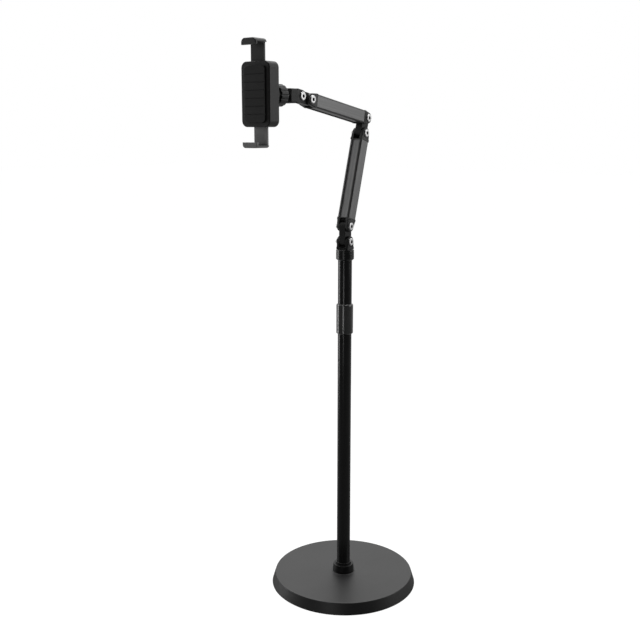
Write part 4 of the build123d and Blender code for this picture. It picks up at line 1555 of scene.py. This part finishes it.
def make_rear_tray():
    tray = make_tray("housing_rear", house_back, house_split, back_wall)
    floor, outside = house_back + back_wall - root, house_back - overrun
    rail, boss = (floor, lower_slide - rail_gap), (floor, house_split - boss_gap)
    add_inside(tray, rail, boss, (floor, lower_slide + slide_thickness), (-post_x, post_y))
    for spot in screw_spots:
        cut(tray, drum("hole", rear_hole, (outside, house_split + overrun), 32, spot))
        cut(tray, drum("seat", seat_radius, (outside, small_seat), 32, spot))
    cut(tray, slot_for(lower_slide, -1))
    cut(tray, drum("shoulder", shoulder_radius, (outside, floor + overrun)))
    return prepare(tray)


def make_front_tray():
    tray = make_tray("housing_front", house_front, house_split, house_wall)
    ceiling = house_front - house_wall + root
    rail = (upper_slide + slide_thickness + rail_gap, ceiling)
    boss = (house_split + boss_gap, ceiling)
    add_inside(tray, rail, boss, (upper_slide, ceiling), (post_x, -post_y))
    for spot in screw_spots:
        cut(tray, drum("hole", front_hole, (house_split - overrun, front_hole_end), 32, spot))
    cut(tray, slot_for(upper_slide, 1))
    return prepare(tray)


dress((
    (make_rear_tray(), "holder_plastic", "holder", "holder_rear_shell"),
    (make_front_tray(), "holder_plastic", "holder", "holder_front_shell"),
), mount_pivot, holder_lean)

# %% [markdown]
# Four small black screws hold the trays together. They are sunk in the rear tray, with a slot
# for the driver. One is modelled, and the others are copies.

# %% Housing screws
small_head, small_head_height, small_edge = 2.7 * mm, 1.8 * mm, 0.2 * mm
small_shank, small_tip, small_length, small_point = 1.5 * mm, 1.1 * mm, 16.0 * mm, 0.4 * mm
slot_half, slot_depth = 0.4 * mm, 0.8 * mm


def make_small_screw():
    top = small_seat - small_head_height
    section = [(small_head - small_edge, top), (small_head, top + small_edge)]
    section += [(small_head, small_seat), (small_shank, small_seat)]
    section += [(small_shank, small_seat + small_length - small_point)]
    section += [(small_tip, small_seat + small_length)]
    small_screw = turned("small_screw", section, 40, solid=True)
    depth = (top - overrun, top + slot_depth)
    cut(small_screw, block("slot", small_head + overrun, slot_half, depth))
    return prepare(small_screw)


def copy_at(template, spot):
    twin = copy_of(template, "copy")
    twin.location = (*spot, 0)
    apply_place(twin)
    return twin


small_screw = make_small_screw()
four = joined("housing_screws", [copy_at(small_screw, spot) for spot in screw_spots])
dress([(four, "black_screw_steel", "holder", "shell_screws")], mount_pivot, holder_lean)

# %% [markdown]
# The pad on the housing's front and the strips on the jaws are soft silicone with cross grooves,
# so that nothing slips. The grooves are cut with joined bars, and every outer edge is rounded like
# a moulded one.

# %% Front pad
pad_x, pad_y, pad_thickness = 19.0 * mm, 39.0 * mm, 2.0 * mm
pad_corner, pad_round, pad_soft = 6.0 * mm, 0.6 * mm, 0.15 * mm
pad_grooves, pad_pitch = 6, 11.0 * mm
groove_half, groove_depth = 0.7 * mm, 0.6 * mm


def make_front_pad():
    top = house_front + pad_thickness
    pad = block("front_cushion", pad_x, pad_y, (house_front, top))
    bevel(pad, pad_corner, 8, is_upright)
    bevel(pad, pad_round, 3, lambda e: middle(e).z > top - hair)
    depth = (top - groove_depth, top + overrun)
    bars = []
    for number in range(pad_grooves):
        centre = (number - (pad_grooves - 1) / 2) * pad_pitch
        groove = (centre - groove_half, centre + groove_half)
        bars.append(block("bar", pad_x + overrun, groove, depth))
    cut(pad, joined("bars", bars))
    return prepare(soften(pad, pad_soft))


dress([(make_front_pad(), "silicone", "holder", "front_pad")], mount_pivot, holder_lean)

# %% [markdown]
# A jaw is a hook on a flat slide. The upper one has a rounded, domed crown and the lower one is
# flatter, with smaller corners, as the picture shows. Both come from one function that takes their
# thickness, their corner and the side they face.

# %% Jaws
half_gap = 69.0 * mm
strip_depth = 1.5 * mm
jaw_x, jaw_back, jaw_front = 13.5 * mm, 84.4 * mm, 108.4 * mm
lip_overlap, lip_inside = 3.0 * mm, 105.0 * mm
slide_tail, slide_root = 17.0 * mm, 1.5 * mm
lug_reach, lug_half, lug_y = 5.0 * mm, 1.5 * mm, 3.0 * mm
jaw_edge = 0.2 * mm


def make_jaw(name, thickness, corner, crown, slide, lug_side, end):
    """The upper (end 1) or lower (end -1) jaw, with its spring's lug to one side."""
    outer, inner, lip = half_gap + thickness, half_gap + strip_depth, half_gap - lip_overlap
    back, plate = min(jaw_back, slide), (slide, slide + slide_thickness)
    jaw = block(name, jaw_x, (end * lip, end * outer), (back, jaw_front))
    bevel(jaw, corner, 8, lambda e: is_upright(e) and end * middle(e).y > outer - hair)
    bevel(jaw, crown, 5, lambda e: middle(e).z > jaw_front - hair)
    throat = (end * (lip - overrun), end * inner)
    cut(jaw, block("throat", jaw_x + overrun, throat, (back - overrun, lip_inside)))
    length = (-end * slide_tail, end * (inner + slide_root))
    add(jaw, block("slide", slide_half, length, plate))
    reach = (lug_side * (slide_half - slide_root), lug_side * (slide_half + lug_reach))
    add(jaw, block("lug", reach, (end * (lug_y - lug_half), end * (lug_y + lug_half)), plate))
    return prepare(soften(jaw, jaw_edge, 70))


top_jaw = make_jaw("jaw_top", 6.5 * mm, 6.1 * mm, 1.6 * mm, upper_slide, 1, 1)
bottom_jaw = make_jaw("jaw_bottom", 5.0 * mm, 5.0 * mm, 1.2 * mm, lower_slide, -1, -1)
print("jaws", round(2 * half_gap / mm, 1), "mm apart")

# %% [markdown]
# The strip in a jaw's throat is as wide as the jaw less a margin, and three grooves cross it.

# %% Jaw strips
strip_margin = 1.5 * mm
strip_grooves, strip_groove_half, strip_groove_depth = 3, 0.8 * mm, 0.5 * mm
strip_soft = 0.12 * mm


def make_jaw_strip(name, slide, end):
    low, half = slide + slide_thickness, jaw_x - strip_margin
    depth = (end * half_gap, end * (half_gap + strip_depth))
    strip = block(name, half, depth, (low, lip_inside))
    pitch = (lip_inside - low) / (strip_grooves + 1)
    depth = (end * (half_gap - overrun), end * (half_gap + strip_groove_depth))
    bars = []
    for number in range(1, strip_grooves + 1):
        start = low + number * pitch - strip_groove_half
        groove = (start, start + 2 * strip_groove_half)
        bars.append(block("bar", half + overrun, depth, groove))
    cut(strip, joined("bars", bars))
    return prepare(soften(strip, strip_soft))


dress((
    (top_jaw, "jaw_plastic", "top_jaw", "upper_jaw"),
    (make_jaw_strip("grip_top", upper_slide, 1), "silicone", "top_jaw", "upper_jaw_pad"),
    (bottom_jaw, "lower_jaw_plastic", "bottom_jaw", "lower_jaw"),
    (make_jaw_strip("grip_bottom", lower_slide, -1), "silicone", "bottom_jaw", "lower_jaw_pad"),
), mount_pivot, holder_lean)

# %% [markdown]
# The pieces that were only copied have done their work. They are removed, so that nothing is left
# in the scene that isn't part of the stand.

# %% Clear the templates away
for template in (link, screw, nut, beam, side_strips, front_strips, arm_fork, small_screw):
    bpy.data.objects.remove(template)

# %% [markdown]
# The stand is shown on a seamless white sweep. The floor is a pale surface that takes the shadow.
# What makes it white is a glow that only the camera and reflections see, so that no extra light
# falls on the black parts.

# %% Floor
floor_size = 30.0
floor_glow, floor_colour = 0.985, 0.15
near_share, far_share = 0.04, 0.35
near_edge, far_edge = 0.1, -0.6
clear_selection()
bpy.ops.mesh.primitive_plane_add(size=floor_size, location=(0, 0, 0))
floor = take_new("floor")


def seen_directly(path):
    """One for rays from the camera, and for those that went through something clear."""
    rays = path.outputs
    return math(path.id_data, "MAXIMUM", rays["Is Camera Ray"], rays["Is Transmission Ray"])


def floor_strength(tree):
    """The glow: whole to the eye, less in reflections before the stand, and none as light."""
    path = tree.nodes.new("ShaderNodeLightPath")
    place = tree.nodes.new("ShaderNodeTexCoord").outputs["Object"]
    share = ramp(tree, dot(tree, place, to_camera), far_edge, near_edge, far_share, near_share)
    mirrored = math(tree, "MULTIPLY", path.outputs["Is Glossy Ray"], share)
    seen = math(tree, "MAXIMUM", seen_directly(path), mirrored)
    return math(tree, "MULTIPLY", seen, floor_glow)


floor_material = bpy.data.materials.new("floor_white")
floor_material.use_nodes = True
tree = floor_material.node_tree
floor_values = {
    "Base Color": grey(floor_colour), "Roughness": 1.0, "Specular IOR Level": 0.0,
    "Emission Color": grey(1.0), "Emission Strength": floor_strength(tree),
}
for key, value in floor_values.items():
    feed(tree, tree.nodes["Principled BSDF"].inputs[key], value)
floor.data.materials.append(floor_material)
print("floor", floor_size, "m")

# %% [markdown]
# A black product needs something bright to reflect. The surroundings are white behind the stand
# and dim in front of it, as in a studio with a white wall and a dark room behind the camera. They
# give little light themselves, so that the lamps shape the piece.

# %% Surroundings
front_level, back_level, light_level = 0.022, 1.0, 0.12
world = bpy.data.worlds.new("studio")
bpy.context.scene.world = world
world.use_nodes = True
tree = world.node_tree
direction = tree.nodes.new("ShaderNodeTexCoord").outputs["Generated"]
mirrored = ramp(tree, dot(tree, direction, to_camera), -0.5, 0.5, back_level, front_level)
path = tree.nodes.new("ShaderNodeLightPath")
values = {0: path.outputs["Is Glossy Ray"], 2: light_level, 3: mirrored}
level = add_node(tree, "ShaderNodeMix", values, data_type="FLOAT").outputs[0]
background = tree.nodes["Background"]
feed(tree, background.inputs["Strength"], math(tree, "MAXIMUM", level, seen_directly(path)))
feed(tree, background.inputs["Color"], grey(1.0))
print("surroundings", front_level, "to", back_level)

# %% [markdown]
# Four soft lamps light the stand: a tall strip on the left draws the clean line down the pole, a
# small weak one in front lifts the hub and the lower tube, a tall one on the right shows the edges
# there, and a wide one overhead lights the base.

# %% Lamps
pole_middle, low_middle = Vector((0, 0, 0.5)), Vector((0, 0, 0.31))
left_place = pole_middle - 1.3 * to_right - 0.35 * to_camera
front_place = low_middle - 0.41 * to_right + 1.02 * to_camera
right_place = pole_middle + 1.7 * to_right + 0.3 * to_camera + 0.5 * up
overhead_place = Vector((0, 0, 2.4)) - 0.4 * to_camera


def add_lamp(name, place, aim, width, height, power):
    """A soft rectangular lamp at a place, aimed at a point."""
    lamp_data = bpy.data.lights.new(name, "AREA")
    lamp_data.shape = "RECTANGLE"
    lamp_data.size, lamp_data.size_y = width, height
    lamp_data.energy = power
    lamp = bpy.data.objects.new(name, lamp_data)
    bpy.context.scene.collection.objects.link(lamp)
    lamp.location = place
    lamp.rotation_euler = (aim - place).to_track_quat("-Z", "Y").to_euler()
    print(name, power, "W")


add_lamp("left_strip", left_place, pole_middle, 0.3, 1.8, 9)
add_lamp("front_strip", front_place, low_middle, 0.2, 0.22, 0.6)
add_lamp("right_fill", right_place, pole_middle, 0.5, 1.2, 7)
add_lamp("overhead", overhead_place, Vector((0, 0, 0)), 1.4, 1.4, 26)

# %% [markdown]
# Last come the plain view settings, and the selection is cleared.

# %% Close the scene
bpy.context.scene.view_settings.view_transform = "Standard"
clear_selection()
